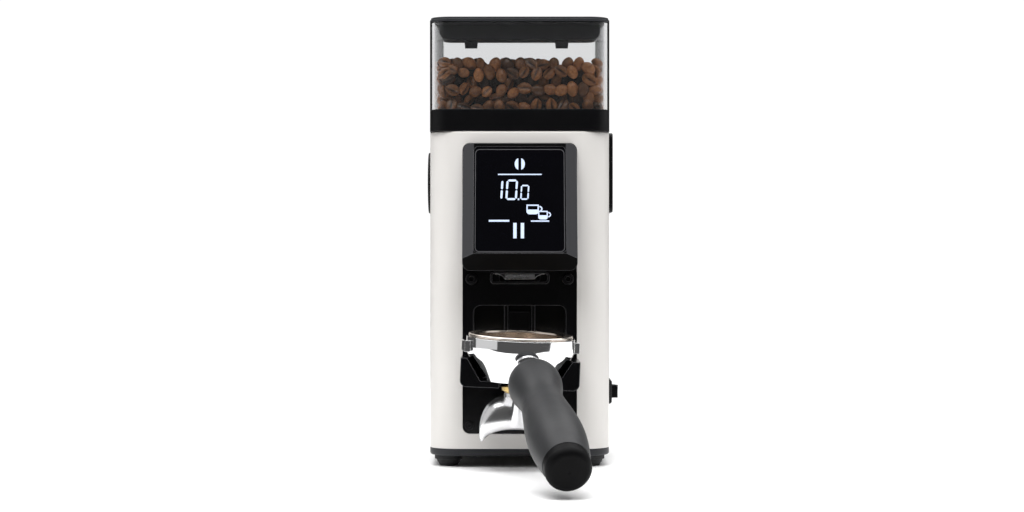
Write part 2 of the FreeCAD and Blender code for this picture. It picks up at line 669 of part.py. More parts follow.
# ---------------------------------------------------------------- burrs
CHAMBER_BORE = 39.0
CHAMBER_TOP = 194.0
BURR_IN = 18.0
BURR_OUT = 32.0
LOWER_BURR_Z = 164.0
BURR_H = 7.0
BURR_GAP = 0.6
UPPER_BURR_Z = LOWER_BURR_Z + BURR_H + BURR_GAP
GEAR_SEAT_R = 38.4
GEAR_Z0 = DIAL_Z - 2.5
GEAR_Z1 = DIAL_Z + 2.5
BURR_SCREW_R = 25.0        # circle of the burr screws


def make_grinding_chamber():
    parts = [
        disc(0, AXIS_Y, CHAMBER_R, 146, CHAMBER_TOP),
        disc(0, AXIS_Y, 40.0, BRACKET_Z1, 147),
        box(-17, 17, SNOUT_Y, AXIS_Y - 30, 147, 170),
        box(-20, 20, AXIS_Y + 30, AXIS_Y + 44, 180, CHAMBER_TOP),
    ]
    body = fuse(*parts)
    return cut(
        body,
        disc(0, AXIS_Y, CHAMBER_BORE, 150, CHAMBER_TOP + 1),
        disc(0, AXIS_Y, SHAFT_R + 0.5, BRACKET_Z1 - 1, 151),
        disc(0, AXIS_Y, 30.0, BRACKET_Z1 - 1, 143),
        box(-13, 13, SNOUT_Y - 1, AXIS_Y - 30, 151.5, 165.5),
    )


def burr_blank():
    """Flat burr with its cutting face up at z = BURR_H, dished towards the bore."""
    body = turned((
        (BURR_IN, 0), (BURR_OUT, 0), (BURR_OUT, BURR_H), (BURR_OUT - 5.0, BURR_H), (BURR_IN, BURR_H - 3.4)))
    groove = Part.Face(Part.makePolygon([
        vec(0, -0.9, 0), vec(0, 0.9, 0), vec(0, 0.0, -1.2), vec(0, -0.9, 0)])).extrude(vec(BURR_OUT, 0, 0))
    groove.translate(vec(BURR_IN - 4, 0, BURR_H + 0.2))
    groove = groove.rotated(vec(BURR_IN, 0, 0), Z_AXIS, 20)
    tools = copies_around(groove, 24, 0, 0)
    for hole in copies_around(disc(BURR_SCREW_R, 0, 1.75 + FIT, -1, BURR_H + 1), 3, 0, 0, 30):
        tools.append(hole)
    for sink in copies_around(disc(BURR_SCREW_R, 0, 3.2, BURR_H - 3.6, BURR_H + 1), 3, 0, 0, 30):
        tools.append(sink)
    return cut(body, *tools)


def burr_screws():
    part = screw(BURR_SCREW_R, 0, BURR_H - 3.6, 3.0, 2.0, 1.75, 8.0, 1.3)
    return Part.makeCompound(copies_around(part, 3, 0, 0, 30))


def on_lower(shape):
    placed = shape.copy()
    placed.translate(vec(0, AXIS_Y, LOWER_BURR_Z))
    return placed


def on_upper(shape):
    placed = shape.rotated(ORIGIN, X_AXIS, 180)
    placed.translate(vec(0, AXIS_Y, UPPER_BURR_Z + BURR_H))
    return placed


def make_lower_burr_carrier():
    body = disc(0, AXIS_Y, 34.0, 153, LOWER_BURR_Z)
    hub = disc(0, AXIS_Y, BURR_IN - 2.0, 152, LOWER_BURR_Z + 2)
    vane = box(30.0, 38.0, AXIS_Y - 1.5, AXIS_Y + 1.5, 153, 161)
    body = fuse(body, hub, *copies_around(vane, 4, 0, AXIS_Y))
    tools = [disc(0, AXIS_Y, SHAFT_R + FIT, 150, 170)]
    hole = disc(BURR_SCREW_R, 0, 1.75 + FIT, -6, 1)
    for tool in copies_around(hole, 3, 0, 0, 30):
        tools.append(on_lower(tool))
    return cut(body, *tools)


def make_shaft_nut():
    nut = hexagon(0, AXIS_Y, 9.0, LOWER_BURR_Z + 2, LOWER_BURR_Z + 7)
    return nut.cut(disc(0, AXIS_Y, SHAFT_R + FIT, 160, 180))


def make_upper_burr_carrier():
    """Threaded cup that holds the upper burr; beans fall through its flared bore."""
    seat_z = UPPER_BURR_Z + BURR_H
    outer = CHAMBER_BORE - RUN
    body = turned((
        (20.0, seat_z), (outer, seat_z), (outer, GEAR_Z0 - 1), (42.0, GEAR_Z0 - 1), (42.0, GEAR_Z0),
        (GEAR_SEAT_R, GEAR_Z0), (GEAR_SEAT_R, GEAR_Z1), (26.5, GEAR_Z1), (20.0, seat_z + 6)), 0, AXIS_Y)
    hole = disc(BURR_SCREW_R, 0, 1.75 + FIT, -6, 1)
    tools = [on_upper(tool) for tool in copies_around(hole, 3, 0, 0, 30)]
    return cut(body, *tools)


def make_gear_ring():
    """Worm gear pressed onto the carrier; half a tooth step brings a gap level with the worm's thread."""
    root_r = GEAR_PITCH_R - 1.7
    tip_r = GEAR_PITCH_R + 1.3
    blank = ring(0, AXIS_Y, GEAR_SEAT_R + FIT, root_r, GEAR_Z0, GEAR_Z1)
    step = 360.0 / GEAR_TEETH
    corners = [
        vec(root_r - 0.5, -1.35, GEAR_Z0), vec(tip_r, -0.65, GEAR_Z0),
        vec(tip_r, 0.65, GEAR_Z0), vec(root_r - 0.5, 1.35, GEAR_Z0)]
    tooth = Part.Face(Part.makePolygon(corners + corners[:1])).extrude(vec(0, 0, GEAR_Z1 - GEAR_Z0))
    tooth.translate(vec(0, AXIS_Y, 0))
    return blank.fuse(copies_around(tooth, GEAR_TEETH, 0, AXIS_Y, step / 2))


# ---------------------------------------------------------------- motor
STATOR_R = 48.0
STATOR_Z0 = 66.0
STATOR_Z1 = 110.0
ROTOR_R = 26.0
BEARING_R = 13.0


def make_motor_shaft():
    shaft = disc(0, AXIS_Y, SHAFT_R, 20.0, LOWER_BURR_Z + 8)
    return soften(shaft, 0.8, edges_at_z(LOWER_BURR_Z + 8))


def make_motor_rotor():
    rotor = ring(0, AXIS_Y, SHAFT_R + FIT, ROTOR_R, STATOR_Z0 - 2, STATOR_Z1 + 2)
    bar = disc(ROTOR_R, AXIS_Y, 0.8, STATOR_Z0, STATOR_Z1)
    return cut(rotor, *copies_around(bar, 18, 0, AXIS_Y))


def make_motor_stator():
    stator = ring(0, AXIS_Y, ROTOR_R + 0.5, STATOR_R, STATOR_Z0, STATOR_Z1)
    slot = box(33.0, 41.0, AXIS_Y - 2.2, AXIS_Y + 2.2, STATOR_Z0 - 1, STATOR_Z1 + 1)
    return cut(stator, *copies_around(slot, 12, 0, AXIS_Y, 15))


def make_motor_windings():
    low = turned(((30, 56), (32, 54), (39, 54), (41, 56), (41, STATOR_Z0), (30, STATOR_Z0)), 0, AXIS_Y)
    high = turned(((30, STATOR_Z1), (41, STATOR_Z1), (41, 120), (39, 122), (32, 122), (30, 120)), 0, AXIS_Y)
    bar = box(33.4, 40.6, AXIS_Y - 1.8, AXIS_Y + 1.8, STATOR_Z0 - 1, STATOR_Z1 + 1)
    return fuse(low, high, *copies_around(bar, 12, 0, AXIS_Y, 15))


def end_bell(z_disc, z_stator, z_hub):
    """Spoked end bell between the stator face and a bearing hub."""
    low, high = sorted((z_disc, z_disc + (5.0 if z_disc > z_stator else -5.0)))
    plate = disc(0, AXIS_Y, STATOR_R, low, high)
    hub = disc(0, AXIS_Y, BEARING_R + 3.5, min(z_hub, low), max(z_hub, high))
    leg_low, leg_high = sorted((z_disc, z_stator))
    leg = ring(0, AXIS_Y, STATOR_R - 5.0, STATOR_R, leg_low, leg_high)
    leg = leg.common(box(30, 60, AXIS_Y - 9, AXIS_Y + 9, leg_low, leg_high))
    window = disc(30.0, AXIS_Y, 8.0, low - 1, high + 1)
    body = fuse(plate, hub, *copies_around(leg, 4, 0, AXIS_Y, 45))
    return cut(body, disc(0, AXIS_Y, BEARING_R + FIT, 0, 200), *copies_around(window, 4, 0, AXIS_Y))


def make_motor_end_bells():
    lower = end_bell(45.0, STATOR_Z0, 51.0)
    upper = end_bell(131.0, STATOR_Z1, 124.0)
    return Part.makeCompound([lower, upper])


def make_ball_bearings():
    bearings = []
    for z0 in (41.5, 126.0):
        outline = (
            (SHAFT_R + 0.05, z0), (8.2, z0), (8.4, z0 + 0.7), (10.8, z0 + 0.7), (11.0, z0), (BEARING_R, z0),
            (BEARING_R, z0 + 8), (11.0, z0 + 8), (10.8, z0 + 7.3), (8.4, z0 + 7.3), (8.2, z0 + 8),
            (SHAFT_R + 0.05, z0 + 8))
        bearings.append(turned(outline, 0, AXIS_Y))
    return Part.makeCompound(bearings)


def make_cooling_fan():
    hub = ring(0, AXIS_Y, SHAFT_R + FIT, 12.0, 22, 34)
    plate = ring(0, AXIS_Y, 11.0, 40.0, 32, 34)
    blade = box(10.0, 40.0, AXIS_Y - 0.9, AXIS_Y + 0.9, 22, 33)
    blade = blade.rotated(vec(12.0, AXIS_Y, 0), Z_AXIS, 18)
    blades = [part.common(disc(0, AXIS_Y, 40.0, 20, 35)) for part in copies_around(blade, 9, 0, AXIS_Y)]
    body = fuse(hub, plate, *blades)
    return body.cut(disc(0, AXIS_Y, SHAFT_R + FIT, 10, 50))


def make_start_capacitor():
    can = disc(30, 151, 17.0, BODY_Z0, 80)
    can = soften(can, 2.0, edges_at_z(80.0))
    tags = [box(x - 3.0, x + 3.0, 150.6, 151.4, 79, 87) for x in (24.0, 36.0)]
    return fuse(can, *tags)


# ---------------------------------------------------------------- power inlet and switch
def make_power_inlet():
    flange = slab_y(INLET_X - 17, INLET_X + 17, INLET_Z - 12.5, INLET_Z + 12.5, BODY_D, BODY_D + 2, 3.0)
    housing = slab_y(INLET_X - 13.7, INLET_X + 13.7, INLET_Z - 9.7, INLET_Z + 9.7, 152, BODY_D, 2.0)
    well = slab_y(INLET_X - 12.0, INLET_X + 12.0, INLET_Z - 8.2, INLET_Z + 8.2, 160, BODY_D + 3, 3.0)
    inlet = flange.fuse(housing).cut(well)
    pins = []
    for x, z in ((-7.0, -2.0), (7.0, -2.0), (0.0, 2.0)):
        pins.append(box(INLET_X + x - 1.0, INLET_X + x + 1.0, 159, 176, INLET_Z + z - 2.0, INLET_Z + z + 2.0))
    return fuse(inlet, *pins)


ROCKER_TILT = 10.0
ROCKER_X = 60.6
ROCKER_HALF_L = 12.5


def make_switch_bezel():
    face_x = BODY_HALF_W + 2.9
    frame = slab_x(SWITCH_Y - 18.5, SWITCH_Y + 18.5, SWITCH_Z - 8.6, SWITCH_Z + 8.6, BODY_HALF_W, face_x, 2.0)
    frame = frame.makeChamfer(1.2, [edge for edge in frame.Edges if edge.BoundBox.XMin > face_x - 0.05])
    housing = slab_x(SWITCH_Y - 14.8, SWITCH_Y + 14.8, SWITCH_Z - 6.8, SWITCH_Z + 6.8, 50.0, BODY_HALF_W, 1.3)
    cavity = box(53.0, BODY_HALF_W + 4, SWITCH_Y - 14.0, SWITCH_Y + 14.0, SWITCH_Z - 4.9, SWITCH_Z + 4.9)
    pins = []
    for y in (SWITCH_Y - 8, SWITCH_Y + 8):
        pins.append(box(45.0, 51.0, y - 2.4, y + 2.4, SWITCH_Z - 0.4, SWITCH_Z + 0.4))
    pivot_holes = Part.makeCylinder(1.2 + RUN, 12.6, vec(ROCKER_X, SWITCH_Y, SWITCH_Z - 6.3))
    return cut(fuse(frame.fuse(housing).cut(cavity), *pins), pivot_holes)


def make_switch_rocker():
    half = ROCKER_HALF_L
    outline = (
        (7.3, -half), (5.2, -4.0), (5.2, 4.0), (7.3, half),
        (1.5, half), (-3.5, 4.0), (-3.5, -4.0), (1.5, -half))
    corners = [vec(x, y, -4.6) for x, y in outline]
    body = Part.Face(Part.makePolygon(corners + corners[:1])).extrude(vec(0, 0, 9.2))
    pin = Part.makeCylinder(1.2, 12.0, vec(0, 0, -6.0))
    rocker = body.fuse(pin).rotated(ORIGIN, Z_AXIS, ROCKER_TILT)
    rocker.translate(vec(ROCKER_X, SWITCH_Y, SWITCH_Z))
    return rocker


# ---------------------------------------------------------------- hopper and lid
THROAT_R = 23.5
GATE_Z0 = 235.1
GATE_Z1 = 237.3
GATE_HALF_W = 27.0
BEANS_Z0 = 245.0
BEANS_LEVEL = 281.5


def make_hopper_collar():
    block = slab_z(-BODY_HALF_W, BODY_HALF_W, 0, HOPPER_D, BODY_Z1, COLLAR_Z1, HOPPER_R)
    throat = disc(0, AXIS_Y, THROAT_R + 2.5, 207.0, BODY_Z1 + 1)
    body = block.fuse(throat)
    tray = slab_z(-INNER_HALF_W, INNER_HALF_W, CLEAR_WALL, HOPPER_D - CLEAR_WALL,
                  BEANS_Z0, COLLAR_Z1 + 1, HOPPER_R - CLEAR_WALL)
    funnel_z = GATE_Z1 + 0.7
    funnel = turned(((0, funnel_z), (THROAT_R, funnel_z), (56.0, BEANS_Z0), (0, BEANS_Z0)), 0, AXIS_Y)
    bore = disc(0, AXIS_Y, THROAT_R, 200.0, 240.0)
    slot = box(-GATE_HALF_W - 0.1, GATE_HALF_W + 0.1, 5.0, HOPPER_D + 1, GATE_Z0 - 0.1, GATE_Z1 + 0.1)
    return cut(body, tray, funnel, bore, slot)


def make_hopper_wall():
    outer = slab_z(-BODY_HALF_W, BODY_HALF_W, 0, HOPPER_D, COLLAR_Z1, LID_Z0, HOPPER_R)
    inner = slab_z(-BODY_HALF_W + CLEAR_WALL, BODY_HALF_W - CLEAR_WALL, CLEAR_WALL, HOPPER_D - CLEAR_WALL,
                   COLLAR_Z1 - 1, LID_Z0 + 1, HOPPER_R - CLEAR_WALL)
    return outer.cut(inner)


def make_hopper_gate():
    blade = slab_z(-GATE_HALF_W, GATE_HALF_W, 5.5, HOPPER_D, GATE_Z0, GATE_Z1, 4.0)
    grip = slab_z(-14.0, 14.0, HOPPER_D - 3, HOPPER_D + 7.0, GATE_Z0, GATE_Z1, 3.0)
    lip = box(-12.0, 12.0, HOPPER_D + 4.5, HOPPER_D + 7.0, GATE_Z0, GATE_Z1 + 5.0)
    gate = fuse(blade, grip, lip)
    return gate.cut(disc(0, AXIS_Y, THROAT_R, GATE_Z0 - 1, GATE_Z1 + 1))


def make_bean_charge():
    """Heap of beans as one solid: a flat slab with low mounds on top."""
    margin = 0.5
    edge = BODY_HALF_W - CLEAR_WALL - margin
    front = CLEAR_WALL + margin
    rear = HOPPER_D - CLEAR_WALL - margin
    heap = slab_z(-edge, edge, front, rear, BEANS_Z0, BEANS_LEVEL, HOPPER_R - CLEAR_WALL - margin)
    mound_r = 24.0
    mounds = []
    for row in range(4):
        for column in range(4):
            wave = 1.2 * math.sin(2.1 * row + 1.3 * column)
            centre = vec(-41.0 + 27.5 * column, 22.0 + 32.5 * row, BEANS_LEVEL - mound_r + 2.2 + wave)
            mounds.append(Part.makeSphere(mound_r, centre))
    room = box(-edge + 3, edge - 3, front + 3, rear - 3, BEANS_LEVEL - 3, BEANS_LEVEL + 6)
    return heap.fuse(mounds[0].multiFuse(mounds[1:]).common(room))


SKIRT_Z0 = 296.5
SKIRT_HALF_W = 55.5
SKIRT_Y0 = 7.1
SKIRT_Y1 = 21.0
SEAL_T = 1.8


def make_lid():
    rim = slab_z(-BODY_HALF_W, BODY_HALF_W, 0, HOPPER_D, LID_Z0, LID_Z0 + 1.7, HOPPER_R)
    crown = slab_z(-BODY_HALF_W + 0.7, BODY_HALF_W - 0.7, 0.7, HOPPER_D - 0.7,
                   LID_Z0 + 1.7, LID_Z1, HOPPER_R - 0.7)
    crown = soften(crown, 0.7, edges_at_z(LID_Z1))
    skirt = slab_y(-SKIRT_HALF_W, SKIRT_HALF_W, SKIRT_Z0, LID_Z0 + 6.0, SKIRT_Y0, SKIRT_Y1, 5.7)
    skirt = skirt.common(box(-60, 60, 0, 30, SKIRT_Z0, LID_Z0 + 1.0))
    scoop = slab_z(-52.0, 52.0, 10.1, SKIRT_Y1 - 2.5, SKIRT_Z0 + 2.5, LID_Z1 + 1, 4.0)
    lid = fuse(rim, crown, skirt).cut(scoop)
    tabs = []
    for x in (-33.8, 29.3):
        tabs.append(lid_tab(x))
    return fuse(lid, *tabs)


def lid_tab(x):
    """Small tapered catch below the lid's front skirt."""
    z0 = SKIRT_Z0 - 5.5
    z1 = SKIRT_Z0 + 1.0
    corners = [vec(x - 4.9, 10.6, z1), vec(x + 4.9, 10.6, z1), vec(x + 4.2, 10.6, z0), vec(x - 4.2, 10.6, z0)]
    return Part.Face(Part.makePolygon(corners + corners[:1])).extrude(vec(0, 3.0, 0))


def make_lid_seal():
    """Flat rubber loop just inside the hopper wall, clear of the lid's front skirt."""
    edge = CLEAR_WALL + 0.6
    half_w = BODY_HALF_W - edge
    outer = slab_z(-half_w, half_w, edge, HOPPER_D - edge, LID_Z0 - 1.6, LID_Z0, HOPPER_R - edge)
    inner = slab_z(-half_w + SEAL_T, half_w - SEAL_T, edge + SEAL_T, HOPPER_D - edge - SEAL_T,
                   LID_Z0 - 2, LID_Z0 + 1, HOPPER_R - edge - SEAL_T)
    beside = SKIRT_HALF_W + 0.3
    skirt_room = box(-beside, beside, SKIRT_Y0 - 0.3, SKIRT_Y1 + 0.3, LID_Z0 - 2, LID_Z0 + 1)
    return cut(outer, inner, skirt_room)


# ---------------------------------------------------------------- portafilter
NECK_END = 38.5            # the bowl's cast neck meets the handle's collar here


def on_handle(shape):
    """Turns a part made about +Z onto the handle's axis, measured out from the bowl's axis."""
    placed = shape.rotated(ORIGIN, X_AXIS, 90 + HANDLE_DROOP)
    placed.translate(vec(0, 0, HANDLE_Z))
    return placed


def along_handle(shape):
    return seated(on_handle(shape), HANDLE_YAW)


def make_portafilter_body():
    bowl = bowl_solid(0.0)
    ears = slab_y(-40.0, 40.0, -12.0, -4.5, -8.0, 8.0, 1.0).common(disc(0, 0, 40.0, -13, 0))
    boss = disc(0, 0, 10.5, -34.4, BOWL_BOTTOM + 1)
    spigot = disc(0, 0, 8.0, -42.0, -34.0)
    neck = on_handle(Part.makeCone(10.5, 9.2, NECK_END - 26.0, vec(0, 0, 26.0)))
    body = fuse(bowl, ears, boss, spigot, neck)
    inside = turned(((0, -28.0), (29.0 - 4.5, -28.0), (31.0, -17.0), (31.0, 0), (0, 0)))
    body = body.cut(inside).cut(disc(0, 0, 4.0, -50, -20))
    stud_hole = on_handle(Part.makeCylinder(5.0 + FIT, 30.0, vec(0, 0, 34.0)))
    return seated(body.cut(stud_hole), HANDLE_YAW)


def make_filter_basket():
    outline = (
        (0, -26.0), (22.6, -26.0), (23.6, -25.0), (29.3, -14.0), (29.3, -RIM_T), (34.6, -RIM_T), (35.2, -1.5),
        (35.0, -0.6), (34.2, 0), (30.2, 0), (29.0, -0.4), (28.6, -1.4), (28.6, -13.8), (23.0, -24.7),
        (22.2, -25.2), (0, -25.2))
    return seated(turned(outline), HANDLE_YAW)


def make_basket_spring():
    loop = Part.makeTorus(30.15, 0.5, vec(0, 0, -9.0), Z_AXIS)
    gap = box(0, 40, -4.0, 4.0, -12, -6)
    return seated(loop.cut(gap), HANDLE_YAW)


def make_spout_ring():
    bore = 8.0 + FIT
    outline = ((bore, -38.6), (11.0, -38.6), (11.6, -38.0), (11.6, -35.0), (11.0, -34.4), (bore, -34.4))
    return seated(turned(outline), HANDLE_YAW)


SPOUT_TIP = 24.6
SPOUT_TIP_Z = -72.8
SPOUT_TOP_Z = -41.0
SPOUT_ARCH_Z = -64.4
SPOUT_HALF_D = 9.0
SPOUT_T = 1.2


def spout_outline(half_depth, lift, reach):
    """Side view of the two open troughs: a domed top over a shallow arch, as a solid across Y."""
    tip = SPOUT_TIP + reach
    top = SPOUT_TOP_Z + reach
    base = SPOUT_TIP_Z + lift
    arch = SPOUT_ARCH_Z + lift
    y = -half_depth
    edges = [
        Part.Arc(vec(-tip, y, base), vec(-0.84 * tip, y, top - 8.5), vec(0, y, top)).toShape(),
        Part.Arc(vec(0, y, top), vec(0.84 * tip, y, top - 8.5), vec(tip, y, base)).toShape(),
        Part.makeLine(vec(tip, y, base), vec(tip - 1.0, y, base)),
        Part.Arc(vec(tip - 1.0, y, base), vec(0, y, arch), vec(1.0 - tip, y, base)).toShape(),
        Part.makeLine(vec(1.0 - tip, y, base), vec(-tip, y, base)),
    ]
    return Part.Face(Part.Wire(edges)).extrude(vec(0, 2 * half_depth, 0))


def make_double_spout():
    body = spout_outline(SPOUT_HALF_D, 0.0, 0.0)
    hollow = spout_outline(SPOUT_HALF_D - SPOUT_T, SPOUT_T, 3.0)
    body = body.cut(hollow)
    neck = disc(0, 0, 9.8, -63.0, -38.6)
    body = body.fuse(neck).cut(disc(0, 0, 8.0 + FIT, -50.0, -38.0))
    return seated(body, SPOUT_YAW)


def make_handle_ferrule():
    stud = disc(0, 0, 5.0, 34.6, 60.0)
    collar = turned(((0, NECK_END), (9.2, NECK_END), (10.0, 39.3), (10.0, 45.0), (0, 45.0)))
    return along_handle(stud.fuse(collar))


HANDLE_STATIONS = (
    (45.0, 10.5), (48.0, 14.0), (54.0, 16.8), (62.5, 17.4), (72.0, 15.8), (84.0, 14.2),
    (98.0, 15.0), (116.0, 17.0), (136.0, 18.2), (154.0, 17.3), (170.0, 14.9))
CAP_R = 14.6
CAP_END = 181.0


def make_handle_grip():
    spline = Part.BSplineCurve()
    spline.interpolate([vec(r, 0, u) for u, r in HANDLE_STATIONS])
    first_u, first_r = HANDLE_STATIONS[0]
    last_u, last_r = HANDLE_STATIONS[-1]
    edges = [
        Part.makeLine(vec(0, 0, first_u), vec(first_r, 0, first_u)),
        spline.toShape(),
        Part.makeLine(vec(last_r, 0, last_u), vec(0, 0, last_u)),
        Part.makeLine(vec(0, 0, last_u), vec(0, 0, first_u)),
    ]
    grip = Part.Face(Part.Wire(edges)).revolve(ORIGIN, Z_AXIS, 360)
    return along_handle(grip.cut(disc(0, 0, 5.0 + FIT, 40.0, 61.0)))


def make_handle_cap():
    last_u = HANDLE_STATIONS[-1][0]
    side_end = vec(CAP_R, 0, CAP_END - 5.0)
    shoulder = vec(CAP_R - 1.5, 0, CAP_END - 1.6)
    face_edge = vec(CAP_R - 4.0, 0, CAP_END - 0.4)
    edges = [
        Part.makeLine(vec(0, 0, last_u), vec(CAP_R, 0, last_u)),
        Part.makeLine(vec(CAP_R, 0, last_u), side_end),
        Part.Arc(side_end, shoulder, face_edge).toShape(),
        Part.makeLine(face_edge, vec(0, 0, CAP_END)),
        Part.makeLine(vec(0, 0, CAP_END), vec(0, 0, last_u)),
    ]
    return along_handle(Part.Face(Part.Wire(edges)).revolve(ORIGIN, Z_AXIS, 360))


# ---------------------------------------------------------------- files
save("body_shell", make_body_shell())
save("base_plate", make_base_plate())
save("rubber_feet", make_rubber_feet())
save("rear_cover", make_rear_cover())
save("rear_cover_screws", make_rear_cover_screws())
save("side_vent", make_side_vent())
save("motor_bracket", make_motor_bracket())
save("front_panel", make_front_panel())
save("panel_screws", make_panel_screws())
save("lower_panel_screws", make_lower_panel_screws())
save("fork", make_fork())
save("fork_screws", make_fork_screws())
save("start_paddle", make_start_paddle())
save("paddle_spring", make_paddle_spring())
save("micro_switch", make_micro_switch())
save("display_bezel", make_display_bezel())
save("display_glass", make_display_glass())
save("display_module", make_display_module())
save("control_board", make_control_board())
save("outlet_chute", make_outlet_chute())
save("outlet_nozzle", make_outlet_nozzle())
save("declumper_clip", make_declumper_clip())
save("dial_bezel", make_dial_bezel())
save("adjust_dial", make_adjust_dial())
save("worm_shaft", make_worm_shaft())
save("worm_bracket", make_worm_bracket())
save("grinding_chamber", make_grinding_chamber())
save("lower_burr", on_lower(burr_blank()))
save("lower_burr_screws", on_lower(burr_screws()))
save("lower_burr_carrier", make_lower_burr_carrier())
save("shaft_nut", make_shaft_nut())
save("upper_burr", on_upper(burr_blank()))
save("upper_burr_screws", on_upper(burr_screws()))
save("upper_burr_carrier", make_upper_burr_carrier())
save("gear_ring", make_gear_ring())
save("motor_shaft", make_motor_shaft())
save("motor_rotor", make_motor_rotor())
save("motor_stator", make_motor_stator())
save("motor_windings", make_motor_windings())
save("motor_end_bells", make_motor_end_bells())
save("ball_bearings", make_ball_bearings())
save("cooling_fan", make_cooling_fan())
save("start_capacitor", make_start_capacitor())
save("power_inlet", make_power_inlet())
save("switch_bezel", make_switch_bezel())
save("switch_rocker", make_switch_rocker())
save("hopper_collar", make_hopper_collar())
save("hopper_wall", make_hopper_wall())
save("hopper_gate", make_hopper_gate())
save("bean_charge", make_bean_charge())
save("lid", make_lid())
save("lid_seal", make_lid_seal())
save("portafilter_body", make_portafilter_body())
save("filter_basket", make_filter_basket())
save("basket_spring", make_basket_spring())
save("spout_ring", make_spout_ring())
save("double_spout", make_double_spout())
save("handle_ferrule", make_handle_ferrule())
save("handle_grip", make_handle_grip())
save("handle_cap", make_handle_cap())
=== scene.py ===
import json
import math
import random
import bmesh
import bpy
from mathutils import Matrix, Vector
from mathutils.kdtree import KDTree


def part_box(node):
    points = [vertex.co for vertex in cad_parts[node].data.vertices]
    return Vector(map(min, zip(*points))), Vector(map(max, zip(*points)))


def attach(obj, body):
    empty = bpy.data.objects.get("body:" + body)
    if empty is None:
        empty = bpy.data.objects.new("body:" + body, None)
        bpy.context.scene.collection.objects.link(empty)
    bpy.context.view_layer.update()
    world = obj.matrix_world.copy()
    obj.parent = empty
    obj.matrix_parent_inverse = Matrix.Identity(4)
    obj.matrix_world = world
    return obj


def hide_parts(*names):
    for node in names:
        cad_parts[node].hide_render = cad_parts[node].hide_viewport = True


# Burr coffee grinder, in metres. +X to the user's right, +Y towards the rear, +Z up.
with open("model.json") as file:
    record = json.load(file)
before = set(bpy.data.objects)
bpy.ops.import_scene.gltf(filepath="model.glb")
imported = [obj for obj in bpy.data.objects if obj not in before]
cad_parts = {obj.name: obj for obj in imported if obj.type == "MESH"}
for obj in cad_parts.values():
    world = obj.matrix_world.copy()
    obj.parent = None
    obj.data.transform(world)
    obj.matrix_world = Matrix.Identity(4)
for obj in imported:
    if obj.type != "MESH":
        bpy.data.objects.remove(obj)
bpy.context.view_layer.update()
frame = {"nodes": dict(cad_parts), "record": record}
nodes = frame["nodes"]

PANEL_RECESS = 0.003                                   # the front panel is set back from the body's front
FRONT_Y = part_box("front_panel")[0].y - PANEL_RECESS    # the body's front face
HEAP_LOW, HEAP_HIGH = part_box("bean_charge")
GLASS_LOW, GLASS_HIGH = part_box("display_glass")
rng = random.Random(11)


# ---------------------------------------------------------------- shader helpers
NOISE_LOW = 0.3               # most of a noise texture's values lie between these two
NOISE_HIGH = 0.7
GRAIN_DETAIL = 4.0
SMUDGE_DETAIL = 5.0
BUMP_DETAIL = 3.0
EDGE_TINT_TURN = 0.12              # how far a normal turns before an edge takes its full tint, wear or painted highlight
EDGE_TINT_SHARE = 0.6              # how much of the edge tint, wear or painted highlight, a fully turned edge takes
MOULD_SCALE = 1800.0          # fine texture of moulded plastic
MOULD_HEIGHT = 0.00003
MIX_FIRST = 6                 # colour sockets of a Mix node
MIX_SECOND = 7
MIX_RESULT = 2
EVEN = (1.0, 1.0, 1.0)


def math_node(tree, operation, *values, clamp=False):
    """Output of a Math node whose inputs are numbers or other nodes' outputs."""
    made = tree.nodes.new("ShaderNodeMath")
    made.operation = operation
    made.use_clamp = clamp
    for socket, value in zip(made.inputs, values):
        if isinstance(value, float):
            socket.default_value = value
        else:
            tree.links.new(value, socket)
    return made.outputs[0]


